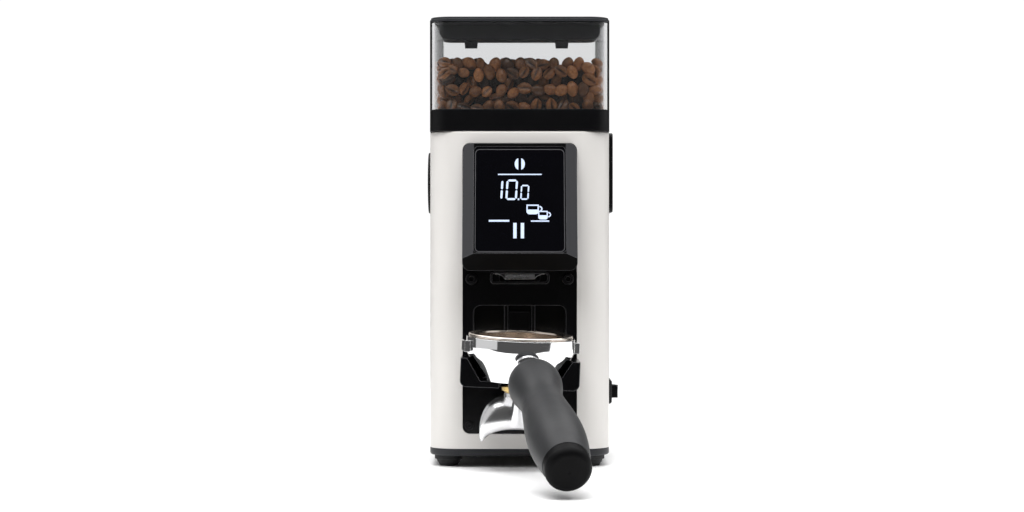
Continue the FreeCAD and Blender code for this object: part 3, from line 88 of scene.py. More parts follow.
class Look:
    """A procedural material: base colour varied by grain, roughness by smudges, bump, and edges tinted for
    wear or as a painted highlight.
    """

    def __init__(self, name, colour, roughness, metallic=0.0, **sockets):
        self.name = name
        self.material = bpy.data.materials.new(name)
        self.material.use_nodes = True
        self.tree = self.material.node_tree
        self.shader = self.tree.nodes["Principled BSDF"]
        self.colour = colour
        self.set("Base Color", (*colour, 1.0))
        self.set("Roughness", roughness)
        self.set("Metallic", metallic)
        for socket, value in sockets.items():
            self.set(socket.replace("_", " "), value)
        self.coords = self.node("ShaderNodeTexCoord").outputs["Object"]

    def set(self, socket, value):
        self.shader.inputs[socket].default_value = value

    def node(self, kind, **inputs):
        made = self.tree.nodes.new(kind)
        for socket, value in inputs.items():
            made.inputs[socket.replace("_", " ")].default_value = value
        return made

    def link(self, source, target):
        self.tree.links.new(source, target)

    def attribute(self, name):
        """Value that a mesh holds at each of its points."""
        made = self.node("ShaderNodeAttribute")
        made.attribute_name = name
        return made.outputs["Fac"]

    def noise(self, scale, detail, stretch=EVEN):
        mapping = self.node("ShaderNodeMapping", Scale=stretch)
        self.link(self.coords, mapping.inputs["Vector"])
        texture = self.node("ShaderNodeTexNoise", Scale=scale, Detail=detail)
        self.link(mapping.outputs["Vector"], texture.inputs["Vector"])
        return texture.outputs["Fac"]

    def span(self, value, low, high):
        """The middle of a noise's values spread from low to high."""
        scaled = self.node("ShaderNodeMapRange", From_Min=NOISE_LOW, From_Max=NOISE_HIGH,
                           To_Min=low, To_Max=high)
        self.link(value, scaled.inputs["Value"])
        return scaled.outputs["Result"]

    def mixed(self, factor, first, second):
        """A colour between first and second, each a plain colour or another node's output."""
        mix = self.tree.nodes.new("ShaderNodeMix")
        mix.data_type = "RGBA"
        self.link(factor, mix.inputs["Factor"])
        for socket, value in ((mix.inputs[MIX_FIRST], first), (mix.inputs[MIX_SECOND], second)):
            if isinstance(value, tuple):
                socket.default_value = (*value, 1.0)
            else:
                self.link(value, socket)
        return mix.outputs[MIX_RESULT]

    def paint(self, colour_out):
        self.colour_out = colour_out
        self.link(colour_out, self.shader.inputs["Base Color"])

    def grain(self, scale, tint, stretch=EVEN):
        """Base colour wanders between itself and itself times tint."""
        other = tuple(channel * tint for channel in self.colour)
        field = self.span(self.noise(scale, GRAIN_DETAIL, stretch), 0.0, 1.0)
        self.paint(self.mixed(field, self.colour, other))

    def smudges(self, scale, low, high):
        """Roughness wanders between low and high."""
        patches = self.span(self.noise(scale, SMUDGE_DETAIL), low, high)
        self.link(patches, self.shader.inputs["Roughness"])

    def bumps(self, scale, height, stretch=EVEN, edge=0.0005):
        """Small surface relief, over edges that are rounded to the radius edge."""
        bump = self.node("ShaderNodeBump", Strength=1.0, Distance=height)
        if edge:
            rounded = self.node("ShaderNodeBevel", Radius=edge)
            self.link(rounded.outputs["Normal"], bump.inputs["Normal"])
        self.link(self.noise(scale, BUMP_DETAIL, stretch), bump.inputs["Height"])
        self.link(bump.outputs["Normal"], self.shader.inputs["Normal"])

    def moulded(self):
        self.bumps(MOULD_SCALE, MOULD_HEIGHT)

    def wear_and_edge_highlight(self, tint, radius=0.0006):
        """Edges take another colour where the surface normal turns within a short radius. On some looks this
        is wear; on the black plastics it is a painted highlight line along the edge.
        """
        bevel = self.node("ShaderNodeBevel", Radius=radius)
        geometry = self.node("ShaderNodeNewGeometry")
        turn = self.tree.nodes.new("ShaderNodeVectorMath")
        turn.operation = "DOT_PRODUCT"
        self.link(bevel.outputs["Normal"], turn.inputs[0])
        self.link(geometry.outputs["Normal"], turn.inputs[1])
        edge = self.node("ShaderNodeMapRange", From_Min=1.0 - EDGE_TINT_TURN, From_Max=1.0, To_Min=1.0, To_Max=0.0)
        self.link(turn.outputs["Value"], edge.inputs["Value"])
        faded = math_node(self.tree, "MULTIPLY", edge.outputs["Result"], EDGE_TINT_SHARE)
        self.link(self.mixed(faded, self.colour_out, tint), self.shader.inputs["Base Color"])


# ---------------------------------------------------------------- paint and plastics
def white_paint():
    look = Look("paint_white", (0.64, 0.622, 0.60), 0.42, Coat_Weight=0.15, Coat_Roughness=0.3)
    look.grain(scale=30.0, tint=0.985)
    look.smudges(scale=45.0, low=0.38, high=0.47)
    look.bumps(scale=2600.0, height=0.00002)
    look.wear_and_edge_highlight((0.86, 0.84, 0.81))
    return look


def dark_plastic():
    look = Look("dark_plastic", (0.020, 0.021, 0.024), 0.42, Specular_IOR_Level=0.25)
    look.grain(scale=60.0, tint=0.85)
    look.smudges(scale=60.0, low=0.36, high=0.5)
    look.moulded()
    look.wear_and_edge_highlight((0.10, 0.105, 0.11))
    return look


def black_plastic():
    look = Look("black_plastic", (0.0025, 0.0025, 0.003), 0.38, Specular_IOR_Level=0.14)
    look.grain(scale=60.0, tint=0.8)
    look.smudges(scale=60.0, low=0.34, high=0.46)
    look.moulded()
    # lighter edge tint: a painted highlight line round pockets and ribs
    look.wear_and_edge_highlight((0.09, 0.09, 0.095), radius=0.0005)
    return look


def gloss_black():
    look = Look("gloss_black", (0.002, 0.002, 0.0025), 0.18, Specular_IOR_Level=0.2)
    look.grain(scale=40.0, tint=0.8)
    look.smudges(scale=30.0, low=0.14, high=0.24)
    look.bumps(scale=400.0, height=0.00001, edge=0.0009)
    # lighter edge tint: a painted highlight line along the edges
    look.wear_and_edge_highlight((0.16, 0.16, 0.17), radius=0.0009)
    return look


def display_glass():
    look = Look("display_glass", (0.001, 0.001, 0.002), 0.04, Specular_IOR_Level=0.25)
    look.grain(scale=12.0, tint=0.7)
    look.smudges(scale=18.0, low=0.03, high=0.07)
    look.bumps(scale=30.0, height=0.000004, edge=0.0)
    return look


def clear_plastic():
    look = Look("clear_plastic", (0.97, 0.975, 0.98), 0.02, IOR=1.3, Specular_IOR_Level=0.2,
                Transmission_Weight=1.0)
    look.grain(scale=20.0, tint=0.99)
    look.smudges(scale=30.0, low=0.01, high=0.05)
    look.bumps(scale=14.0, height=0.00001, edge=0.0)
    return look


def board_green():
    look = Look("board_green", (0.01, 0.10, 0.04), 0.35)
    look.grain(scale=250.0, tint=0.6)
    look.smudges(scale=80.0, low=0.3, high=0.45)
    look.bumps(scale=500.0, height=0.00004)
    look.wear_and_edge_highlight((0.2, 0.2, 0.12))
    return look


def rubber():
    look = Look("rubber", (0.018, 0.018, 0.019), 0.75)
    look.grain(scale=90.0, tint=0.8)
    look.smudges(scale=60.0, low=0.65, high=0.85)
    look.bumps(scale=900.0, height=0.00006)
    look.wear_and_edge_highlight((0.05, 0.05, 0.05))
    return look


def soft_grip():
    look = Look("soft_grip", (0.0160, 0.0165, 0.0180), 0.50, Specular_IOR_Level=0.3, Sheen_Weight=0.05,
                Sheen_Roughness=0.4)
    look.grain(scale=70.0, tint=0.88)
    look.smudges(scale=40.0, low=0.46, high=0.6)
    look.moulded()
    look.wear_and_edge_highlight((0.07, 0.07, 0.075))
    return look


def cap_grip():
    """End cap of the handle, darker than the grip."""
    look = Look("cap_grip", (0.0020, 0.0020, 0.0023), 0.5, Specular_IOR_Level=0.08)
    look.grain(scale=70.0, tint=0.85)
    look.smudges(scale=40.0, low=0.44, high=0.6)
    look.moulded()
    look.wear_and_edge_highlight((0.03, 0.03, 0.03))
    return look


def bezel_black():
    """Black frame whose sideways-facing chamfers are painted lighter grey, a painted highlight told apart by
    which way each face looks.
    """
    look = Look("bezel_black", (0.0010, 0.0010, 0.0012), 0.42, Specular_IOR_Level=0.04)
    facing = look.node("ShaderNodeSeparateXYZ")
    look.link(look.node("ShaderNodeTexCoord").outputs["Normal"], facing.inputs[0])
    painted_side_highlight = math_node(look.tree, "ABSOLUTE", facing.outputs["X"])
    look.grain(scale=60.0, tint=0.8)
    # sideways faces take a lighter grey: a painted highlight on the side chamfers
    look.paint(look.mixed(look.span(painted_side_highlight, 0.0, 1.0), look.colour_out, (0.22, 0.22, 0.235)))
    look.smudges(scale=60.0, low=0.36, high=0.5)
    look.moulded()
    # lighter edge tint: a painted highlight line along the frame's edges
    look.wear_and_edge_highlight((0.16, 0.16, 0.17), radius=0.0008)
    return look


# ---------------------------------------------------------------- metals
def steel():
    look = Look("steel", (0.60, 0.60, 0.61), 0.28, 1.0)
    look.grain(scale=300.0, tint=0.85, stretch=(1.0, 12.0, 12.0))
    look.smudges(scale=80.0, low=0.22, high=0.36)
    look.bumps(scale=1500.0, height=0.00001)
    look.wear_and_edge_highlight((0.75, 0.75, 0.76))
    return look


def burr_steel():
    look = Look("burr_steel", (0.42, 0.42, 0.43), 0.33, 1.0)
    look.grain(scale=200.0, tint=0.8)
    look.smudges(scale=90.0, low=0.26, high=0.42)
    look.bumps(scale=900.0, height=0.00002)
    look.wear_and_edge_highlight((0.7, 0.7, 0.71))
    return look


def basket_steel():
    """Warm bare steel of the filter basket."""
    look = Look("basket_steel", (0.76, 0.68, 0.60), 0.16, 1.0)
    look.grain(scale=60.0, tint=0.9)
    look.smudges(scale=40.0, low=0.14, high=0.28)
    look.bumps(scale=300.0, height=0.00001)
    look.wear_and_edge_highlight((0.9, 0.88, 0.85))
    return look


def chrome():
    look = Look("chrome", (0.86, 0.86, 0.87), 0.06, 1.0)
    look.grain(scale=25.0, tint=0.97)
    look.smudges(scale=30.0, low=0.03, high=0.10)
    look.bumps(scale=60.0, height=0.000006)
    look.wear_and_edge_highlight((0.95, 0.95, 0.95))
    return look


def spout_chrome():
    """Cast chrome of the double spout, a little duller than the bowl."""
    look = Look("spout_chrome", (0.78, 0.78, 0.79), 0.2, 1.0)
    look.grain(scale=40.0, tint=0.95)
    look.smudges(scale=30.0, low=0.16, high=0.26)
    look.bumps(scale=60.0, height=0.000004)
    look.wear_and_edge_highlight((0.95, 0.95, 0.95), radius=0.0008)
    return look


def brass():
    look = Look("brass", (0.72, 0.52, 0.20), 0.25, 1.0)
    look.grain(scale=120.0, tint=0.85)
    look.smudges(scale=60.0, low=0.18, high=0.35)
    look.bumps(scale=600.0, height=0.00001)
    look.wear_and_edge_highlight((0.9, 0.75, 0.4))
    return look


def aluminium():
    look = Look("aluminium", (0.62, 0.63, 0.64), 0.45, 1.0)
    look.grain(scale=180.0, tint=0.88)
    look.smudges(scale=60.0, low=0.38, high=0.55)
    look.bumps(scale=700.0, height=0.00004)
    look.wear_and_edge_highlight((0.78, 0.78, 0.79))
    return look


def core_iron():
    """Stacked plates of the motor's core, with lines round it."""
    look = Look("core_iron", (0.14, 0.14, 0.145), 0.5, 1.0)
    look.grain(scale=60.0, tint=0.7, stretch=(1.0, 1.0, 30.0))
    look.smudges(scale=60.0, low=0.4, high=0.6)
    look.bumps(scale=90.0, height=0.00008, stretch=(0.1, 0.1, 12.0))
    look.wear_and_edge_highlight((0.3, 0.3, 0.3))
    return look


def enamel_copper():
    """Varnished copper windings."""
    look = Look("enamel_copper", (0.45, 0.14, 0.05), 0.3, Coat_Weight=0.5)
    look.grain(scale=90.0, tint=0.7)
    look.smudges(scale=60.0, low=0.22, high=0.4)
    look.bumps(scale=300.0, height=0.0002, stretch=(0.2, 0.2, 4.0))
    look.wear_and_edge_highlight((0.7, 0.3, 0.12))
    return look


# ---------------------------------------------------------------- looks on the CAD nodes
SLOT_LOOKS = {look.name: look for look in (
    white_paint(), dark_plastic(), black_plastic(), gloss_black(), display_glass(), clear_plastic(),
    board_green(), rubber(), soft_grip(), steel(), burr_steel(), chrome(), brass(), aluminium(), core_iron(),
    enamel_copper())}
NODE_LOOKS = {"filter_basket": basket_steel(), "display_bezel": bezel_black(), "handle_cap": cap_grip()}


def dress_nodes():
    """Each node takes a look of its own, or the look of its slot in the record."""
    for part in frame["record"]["subparts"]:
        look = NODE_LOOKS.get(part["node"], SLOT_LOOKS.get(part["material_slot"]))
        if look:
            for slot in nodes[part["node"]].material_slots:
                slot.material = look.material


dress_nodes()


# ---------------------------------------------------------------- mesh helpers
def add_object(name, data):
    obj = bpy.data.objects.new(name, data)
    bpy.context.scene.collection.objects.link(obj)
    return obj


def mesh_from(name, bm, look):
    mesh = bpy.data.meshes.new(name)
    bm.to_mesh(mesh)
    bm.free()
    mesh.materials.append(look.material)
    return mesh


def new_piece(name, bm, look, body, smooth=True):
    mesh = mesh_from(name, bm, look)
    for polygon in mesh.polygons:
        polygon.use_smooth = smooth
    piece = add_object(name, mesh)
    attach(piece, body)
    return piece


def join_rings(bm, low, high):
    """Faces between two closed rings of points."""
    for index in range(len(low)):
        following = (index + 1) % len(low)
        bm.faces.new((low[index], low[following], high[following], high[index]))


# ---------------------------------------------------------------- coffee beans
BEAN_HALF = Vector((0.0051, 0.0039, 0.0031))
BEAN_SIDES = 20
BEAN_RINGS = 14
CREASE_HALF_W = 0.17          # share of the bean's half width, as is the swing
CREASE_SWING = 0.10
CREASE_DEPTH = 0.60           # share of the face's depth
BEAN_TAPER = 0.12             # share of the width lost at the ends
BEAN_PITCH = 0.0081           # starting distance between neighbours
LAYER_STEP = BEAN_PITCH * 0.80
BEAN_SHAKE = 0.34             # share of the pitch
BEAN_REACH = 0.0079           # neighbours are pushed apart to this distance
PUSH_ROUNDS = 24
PUSH_SHARE = 0.4              # share of an overlap taken out in one round
BEAN_SHELL = 0.020            # only beans this close to the walls or the top are made
BEAN_SINK = 0.0035            # centres stay this far below the top of the heap
WALL_CLEAR = 0.0006           # least gaps between a bean and the hopper
FLOOR_CLEAR = 0.0003
CENTRE_INSET = Vector((0.0034, 0.0034, 0.0030))
HOPPER_CORNER = 0.0085        # corner radius of the space the beans fill
CORNER_ROOM = 0.0048
CORNER_SHARE = 0.72           # share of the way back out of a corner, along X and along Y
NEAR_WALL = 0.009             # beans this close to the front wall lie roughly flat against it
HEAP_LIFT = 0.0010
HEAP_SLOPE = 0.020            # rise towards the left, per metre


def bean_look():
    look = Look("roasted_bean", (0.16, 0.075, 0.036), 0.36, Specular_IOR_Level=0.15, Coat_Weight=0.4,
                Coat_Roughness=0.1)
    # the attribute holds a random roast, darkened as painted shade on buried beans
    shade = look.mixed(look.attribute("roast_and_shade"), (0.008, 0.003, 0.0015), (0.700, 0.285, 0.100))
    mottling = look.span(look.noise(600.0, GRAIN_DETAIL), 0.0, 0.5)
    mottled = look.mixed(mottling, shade, (0.035, 0.014, 0.006))
    # the crease is painted darker: painted shade in the groove
    look.paint(look.mixed(look.attribute("crease"), mottled, (0.010, 0.005, 0.003)))
    look.smudges(scale=400.0, low=0.45, high=0.6)
    look.bumps(scale=1300.0, height=0.00008, edge=0.0)
    return look


def from_lowest(face):
    """The face's points in their own turning order, from the lowest index on."""
    indices = [vert.index for vert in face.verts]
    first = indices.index(min(indices))
    return indices[first:] + indices[:first]


def bean_template():
    """One roasted bean: a domed back, a flatter face and an S-shaped crease along the face."""
    bm = bmesh.new()
    bmesh.ops.create_uvsphere(bm, u_segments=BEAN_SIDES, v_segments=BEAN_RINGS, radius=1.0)
    points = []
    for vert in bm.verts:
        x, y, z = vert.co.z, vert.co.y, vert.co.x      # the poles lie at the bean's two ends
        crease = 0.0
        if z < 0:
            middle = CREASE_SWING * math.sin(2.4 * x)
            crease = math.exp(-((y - middle) / CREASE_HALF_W) ** 2) * max(0.0, 1.0 - abs(x) ** 5)
            z = -0.62 * math.sqrt(-z) * (1.0 - CREASE_DEPTH * crease)
        taper = 1.0 - BEAN_TAPER * x * x
        place = Vector((x * BEAN_HALF.x, y * BEAN_HALF.y * taper, z * BEAN_HALF.z * 1.2))
        points.append((place, crease))
    faces = sorted(from_lowest(face) for face in bm.faces)      # the same order each run
    bm.free()
    return points, faces


def heap_top(x, y):
    """Height of the heap of beans: uneven, and a little higher on the left."""
    wave = 0.0017 * math.sin(95.0 * x + 0.6) + 0.0013 * math.sin(70.0 * y + 1.2)
    return HEAP_HIGH.z + HEAP_LIFT + wave - HEAP_SLOPE * x


def shaken_grid(low, high):
    """Centres on a staggered grid up to the top of the heap, each shaken off its place."""
    columns = int((high.x - low.x) / BEAN_PITCH)
    rows = int((high.y - low.y) / BEAN_PITCH)
    layers = int((high.z - low.z) / LAYER_STEP)
    centres = []
    for layer in range(layers + 1):
        for row in range(rows + 1):
            for column in range(columns + 1):
                shake = Vector([rng.uniform(-1, 1) for _ in range(3)]) * BEAN_PITCH * BEAN_SHAKE
                across = (column + 0.5 * ((layer + row) % 2)) * (high.x - low.x) / columns
                along = (row + 0.5 * (layer % 2)) * (high.y - low.y) / rows
                centre = low + Vector((across, along, layer * LAYER_STEP)) + shake
                if centre.z < heap_top(centre.x, centre.y) - BEAN_SINK:
                    centres.append(centre)
    return centres


def pushed_apart(centres, low, high):
    """The centres once more, moved away from neighbours that are too near and kept between low and high."""
    tree = KDTree(len(centres))
    for index, centre in enumerate(centres):
        tree.insert(centre, index)
    tree.balance()
    pushed = []
    for index, centre in enumerate(centres):
        push = Vector()
        for other, other_index, distance in tree.find_range(centre, BEAN_REACH):
            if other_index != index and distance > 1e-6:
                push += (centre - other) / distance * (BEAN_REACH - distance) * PUSH_SHARE
        moved = centre + push
        top = heap_top(moved.x, moved.y) - BEAN_SINK
        pushed.append(Vector((min(high.x, max(low.x, moved.x)), min(high.y, max(low.y, moved.y)),
                              min(top, max(low.z, moved.z)))))
    return pushed


def bean_centres(low, high):
    centres = shaken_grid(low, high)
    for _ in range(PUSH_ROUNDS):
        centres = pushed_apart(centres, low, high)
    return centres


def bean_turn(near_wall):
    """A random turn. At the front wall a bean lies roughly flat, with its face or its back to the wall."""
    tilt = 0.45 if near_wall else 0.9
    spin = Matrix.Rotation(rng.gauss(0, tilt), 3, "X") @ Matrix.Rotation(rng.gauss(0, tilt), 3, "Z")
    if near_wall:
        spin = spin @ Matrix.Rotation(math.radians(90 if rng.random() < 0.55 else -90), 3, "X")
    return spin @ Matrix.Rotation(rng.uniform(0, 2 * math.pi), 3, "Z")


def bean_roast_and_shade(depth):
    """A random roast, darkened as painted shade for a bean that lies under others."""
    shade = max(0.0, 1.0 - max(0.0, depth - 0.0045) / 0.004)
    return shade * min(1.0, max(0.15, rng.gauss(0.50, 0.20)))


def shift_inside(placed, centre, low, high):
    """How far a bean moves to clear the hopper's walls and its rounded corners."""
    shift = Vector()
    for axis in range(3):
        least = min(point[axis] for point in placed)
        most = max(point[axis] for point in placed)
        shift[axis] = max(0.0, low[axis] - least) - max(0.0, most - high[axis])
    middle_y = (low.y + high.y) / 2
    off_x = abs(centre.x + shift.x) - (high.x - HOPPER_CORNER)
    off_y = abs(centre.y + shift.y - middle_y) - ((high.y - low.y) / 2 - HOPPER_CORNER)
    if off_x > 0 and off_y > 0:
        excess = math.hypot(off_x, off_y) - (HOPPER_CORNER - CORNER_ROOM)
        if excess > 0:
            shift.x -= math.copysign(excess * CORNER_SHARE, centre.x)
            shift.y -= math.copysign(excess * CORNER_SHARE, centre.y - middle_y)
    return shift


def make_beans():
    points, faces = bean_template()
    coords = []
    polygons = []
    roasts_and_shades = []
    creases = []
    low = HEAP_LOW + Vector((WALL_CLEAR, WALL_CLEAR, FLOOR_CLEAR))
    high = HEAP_HIGH - Vector((WALL_CLEAR, WALL_CLEAR, 0.0))
    for centre in bean_centres(low + CENTRE_INSET, high - CENTRE_INSET):
        from_wall = min(centre.x - low.x, high.x - centre.x, centre.y - low.y, high.y - centre.y)
        below = heap_top(centre.x, centre.y) - centre.z
        spin = bean_turn(centre.y - low.y < NEAR_WALL)
        size = rng.uniform(0.88, 1.12)
        roast_and_shade = bean_roast_and_shade(min(from_wall, below))
        if from_wall > BEAN_SHELL and below > BEAN_SHELL:
            continue
        placed = [centre + spin @ (point * size) for point, _ in points]
        shift = shift_inside(placed, centre, low, high)
        start = len(coords)
        coords += [tuple(point + shift) for point in placed]
        polygons += [[start + index for index in face] for face in faces]
        roasts_and_shades += [roast_and_shade] * len(points)
        creases += [crease for _, crease in points]
    mesh = bpy.data.meshes.new("coffee_beans")
    mesh.from_pydata(coords, [], polygons)
    for name, values in (("roast_and_shade", roasts_and_shades), ("crease", creases)):
        attribute = mesh.attributes.new(name, "FLOAT", "POINT")
        attribute.data.foreach_set("value", values)
    for polygon in mesh.polygons:
        polygon.use_smooth = True
    mesh.materials.append(bean_look().material)
    beans = add_object("coffee_beans", mesh)
    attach(beans, "hopper")
    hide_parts("bean_charge")


make_beans()


# ---------------------------------------------------------------- double spout
ROLL = math.radians(2.3)                             # how the bowl rests in the fork
PITCH = math.radians(3.0)
SPOUT_YAW = math.radians(3.0)
SEAT = Vector((0.0006, FRONT_Y - 0.040, 0.0938))     # middle of the basket's rim
SPOUT_TOP = -0.0410                                  # rim of the troughs at the middle
SPOUT_ARCH = -0.0644                                 # their underside at the middle
SPOUT_TIP = Vector((0.0246, 0.0, -0.0728))
RIM_CURVE = (Vector((0, 0, SPOUT_TOP)), Vector((0.0150, 0, SPOUT_TOP)),
             Vector((0.0280, 0, -0.0500)), SPOUT_TIP)
ARCH_CURVE = (Vector((0, 0, SPOUT_ARCH)), Vector((0.009, 0, SPOUT_ARCH)),
              Vector((0.0185, 0, -0.0662)), SPOUT_TIP - Vector((0.0012, 0, 0)))
SPOUT_HALF_D = 0.0090
SPOUT_NARROWING = 0.25                               # share of the half depth lost at the tip
SPOUT_WALL = 0.0011
SPOUT_BEND = 0.0048                                  # radius along the bottom edges
SPOUT_BEND_SHARE = 0.45                              # its most, as a share of the height
SPOUT_STEPS = 22
BEND_STEPS = 6
NECK_SIDES = 40
NECK_PROFILE = ((0.0085, -0.0387), (0.0096, -0.0392), (0.0098, -0.0400), (0.0098, -0.0620), (0.0088, -0.0632))


def seated(yaw):
    """From the bowl's own axes, rim at zero, to where the bowl rests."""
    turn = Matrix.Rotation(ROLL, 4, "Y") @ Matrix.Rotation(PITCH, 4, "X") @ Matrix.Rotation(yaw, 4, "Z")
    return Matrix.Translation(SEAT) @ turn


def bezier(a, b, c, d, t):
    return a * (1 - t) ** 3 + b * 3 * t * (1 - t) ** 2 + c * 3 * t * t * (1 - t) + d * t ** 3


def trough_section(tall, half, bend, inset):
    """Across and up, from the near rim, round the bottom, to the far rim."""
    radius = max(0.0002, bend - inset)
    points = [(-half + inset, tall)]
    for k in range(BEND_STEPS + 1):
        angle = math.pi + math.pi / 2 * k / BEND_STEPS
        points.append((-half + bend + radius * math.cos(angle), bend + radius * math.sin(angle)))
    return points + [(-across, up) for across, up in reversed(points)]


def trough_rows(bm, side):
    """Outer and inner rows of points, from the middle of the spout to the tip on one side."""
    outer = []
    inner = []
    for step in range(SPOUT_STEPS + 1):
        t = step / SPOUT_STEPS
        arch = bezier(*ARCH_CURVE, t)
        upward = bezier(*RIM_CURVE, t) - arch
        tall = upward.length
        upward.normalize()
        half = SPOUT_HALF_D * (1.0 - SPOUT_NARROWING * t ** 3)
        bend = min(SPOUT_BEND, tall * SPOUT_BEND_SHARE)
        for rows, inset in ((outer, 0.0), (inner, SPOUT_WALL)):
            row = []
            for across, up in trough_section(tall, half, bend, inset):
                point = arch + upward * up
                row.append(bm.verts.new((side * point.x, across, point.z)))
            rows.append(row)
    return outer, inner


def trough_faces(bm, outer, inner):
    """Outer and inner walls, the rims between them and the wall's end at the tip."""
    spans = range(len(outer[0]) - 1)
    for index in range(SPOUT_STEPS):
        out, out_next = outer[index], outer[index + 1]
        into, into_next = inner[index], inner[index + 1]
        for k in spans:
            bm.faces.new((out[k], out[k + 1], out_next[k + 1], out_next[k]))
            bm.faces.new((into[k], into_next[k], into_next[k + 1], into[k + 1]))
        for k in (0, -1):
            bm.faces.new((out[k], out_next[k], into_next[k], into[k]))
    for k in spans:
        bm.faces.new((outer[-1][k], outer[-1][k + 1], inner[-1][k + 1], inner[-1][k]))


def make_neck(bm):
    """Round neck under the bowl, closed at its lower end."""
    angles = [2 * math.pi * k / NECK_SIDES for k in range(NECK_SIDES)]
    rings = []
    for radius, z in NECK_PROFILE:
        rings.append([bm.verts.new((radius * math.cos(a), radius * math.sin(a), z)) for a in angles])
    for upper, lower in zip(rings, rings[1:]):
        join_rings(bm, upper, lower)
    bm.faces.new(rings[-1])


def make_spout():
    """Two open troughs back to back, under a short neck."""
    bm = bmesh.new()
    for side in (-1, 1):
        outer, inner = trough_rows(bm, side)
        trough_faces(bm, outer, inner)
    make_neck(bm)
    bmesh.ops.remove_doubles(bm, verts=bm.verts, dist=0.00001)
    bmesh.ops.recalc_face_normals(bm, faces=bm.faces)
    bm.transform(seated(SPOUT_YAW))
    spout = new_piece("spout_troughs", bm, spout_chrome(), "portafilter")
    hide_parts("double_spout")


make_spout()


# ---------------------------------------------------------------- display graphics
LEAN = math.radians(17.5)
GLASS_FOOT = Vector((0.0, GLASS_LOW.y, GLASS_LOW.z))
GLASS_UP = Vector((0.0, math.sin(LEAN), math.cos(LEAN)))
GLASS_OUT = Vector((0.0, -math.cos(LEAN), math.sin(LEAN)))
LIT_LIFT = 0.0003             # symbols stand this far off the glass
LIT_THICKNESS = 0.0002
DIGIT_SLANT = 0.06            # lean of a digit, as a share of its height
SEGMENT_HALF = 0.052          # half width of a segment, as a share of the digit's height
SEGMENT_GAP = 0.35            # gap at a segment's end, as a share of that half width
SEGMENTS = {"1": "bc", "0": "abcdef"}
SEGMENT_ENDS = {"a": ((0, 2), (1, 2)), "b": ((1, 2), (1, 1)), "c": ((1, 1), (1, 0)),
                "d": ((0, 0), (1, 0)), "e": ((0, 0), (0, 1)), "f": ((0, 1), (0, 2))}
NUMBER_V = 0.0385             # the V values are heights up the glass
POINT_V = 0.0378
RULE_V = 0.0222
PAUSE_V = 0.0103
HEADER_V = 0.0560
BEAN_MARK_V = 0.0640
TALL_DIGIT = 0.0135
SMALL_DIGIT = 0.0098
POINT_SIZE = 0.0012
PAUSE_BAR = (0.0023, 0.0110)
LIP_MARGIN = 0.0006           # gaps between the lip and the edges of the glass
LIP_TOP_MARGIN = 0.0016
LIP_WIDTH = 0.0005
LIP_BEND = 0.0032
LIP_LOW = 0.0001              # the lip reaches from here to here off the glass
LIP_HIGH = 0.0004


def lit_symbol():
    look = Look("lit_symbol", (0.20, 0.24, 0.30), 0.4)
    look.grain(scale=900.0, tint=0.93)
    look.smudges(scale=300.0, low=0.35, high=0.5)
    look.bumps(scale=500.0, height=0.000004)
    look.set("Emission Color", (0.66, 0.77, 1.0, 1.0))
    look.set("Emission Strength", 0.8)
    return look


def painted_highlight_lip():
    # lighter grey than the bezel: a painted highlight line round the glass
    look = Look("painted_highlight_lip", (0.055, 0.055, 0.060), 0.35, Specular_IOR_Level=0.4)
    look.grain(scale=300.0, tint=0.85)
    look.smudges(scale=200.0, low=0.3, high=0.42)
    look.bumps(scale=900.0, height=0.000004, edge=0.0)
    return look


LIT = lit_symbol()


def on_glass(u, v, lift):
    """Point on the leaning glass: u to the right of its middle, v up from its lower edge."""
    return GLASS_FOOT + Vector((u, 0, 0)) + GLASS_UP * v + GLASS_OUT * lift


def lit_shape(bm, outline):
    lower = [bm.verts.new(on_glass(u, v, LIT_LIFT)) for u, v in outline]
    upper = [bm.verts.new(on_glass(u, v, LIT_LIFT + LIT_THICKNESS)) for u, v in outline]
    bm.faces.new(upper)
    bm.faces.new(list(reversed(lower)))
    join_rings(bm, lower, upper)


def bar(u, v, width, height):
    return [(u, v), (u + width, v), (u + width, v + height), (u, v + height)]


def segment(u0, v0, u1, v1, half):
    """Pointed bar of a seven segment digit."""
    length = math.hypot(u1 - u0, v1 - v0)
    ax, ay = (u1 - u0) / length, (v1 - v0) / length
    nx, ny = -ay * half, ax * half
    return [(u0, v0),
            (u0 + ax * half + nx, v0 + ay * half + ny),
            (u1 - ax * half + nx, v1 - ay * half + ny),
            (u1, v1),
            (u1 - ax * half - nx, v1 - ay * half - ny),
            (u0 + ax * half - nx, v0 + ay * half - ny)]


def digit(bm, text, u, v, width, height):
    half = height * SEGMENT_HALF
    gap = half * SEGMENT_GAP
    for name in SEGMENTS[text]:
        (x0, y0), (x1, y1) = SEGMENT_ENDS[name]
        start = Vector((u + x0 * width + DIGIT_SLANT * y0 * height / 2, v + y0 * height / 2))
        end = Vector((u + x1 * width + DIGIT_SLANT * y1 * height / 2, v + y1 * height / 2))
        along = (end - start).normalized() * gap
        lit_shape(bm, segment(start.x + along.x, start.y + along.y, end.x - along.x, end.y - along.y, half))


def arc_points(cu, cv, radius_u, radius_v, start, end, count):
    found = []
    for index in range(count + 1):
        angle = math.radians(start + (end - start) * index / count)
        found.append((cu + radius_u * math.cos(angle), cv + radius_v * math.sin(angle)))
    return found


def band(outer, inner):
    return outer + list(reversed(inner))


def mug_outline(u, v, width, height, bend):
    """Straight-sided cup with rounded lower corners, from the top left round to the top right."""
    left = arc_points(u + bend, v + bend, bend, bend, 180, 270, 5)
    right = arc_points(u + width - bend, v + bend, bend, bend, 270, 360, 5)
    return [(u, v + height)] + left + right + [(u + width, v + height)]


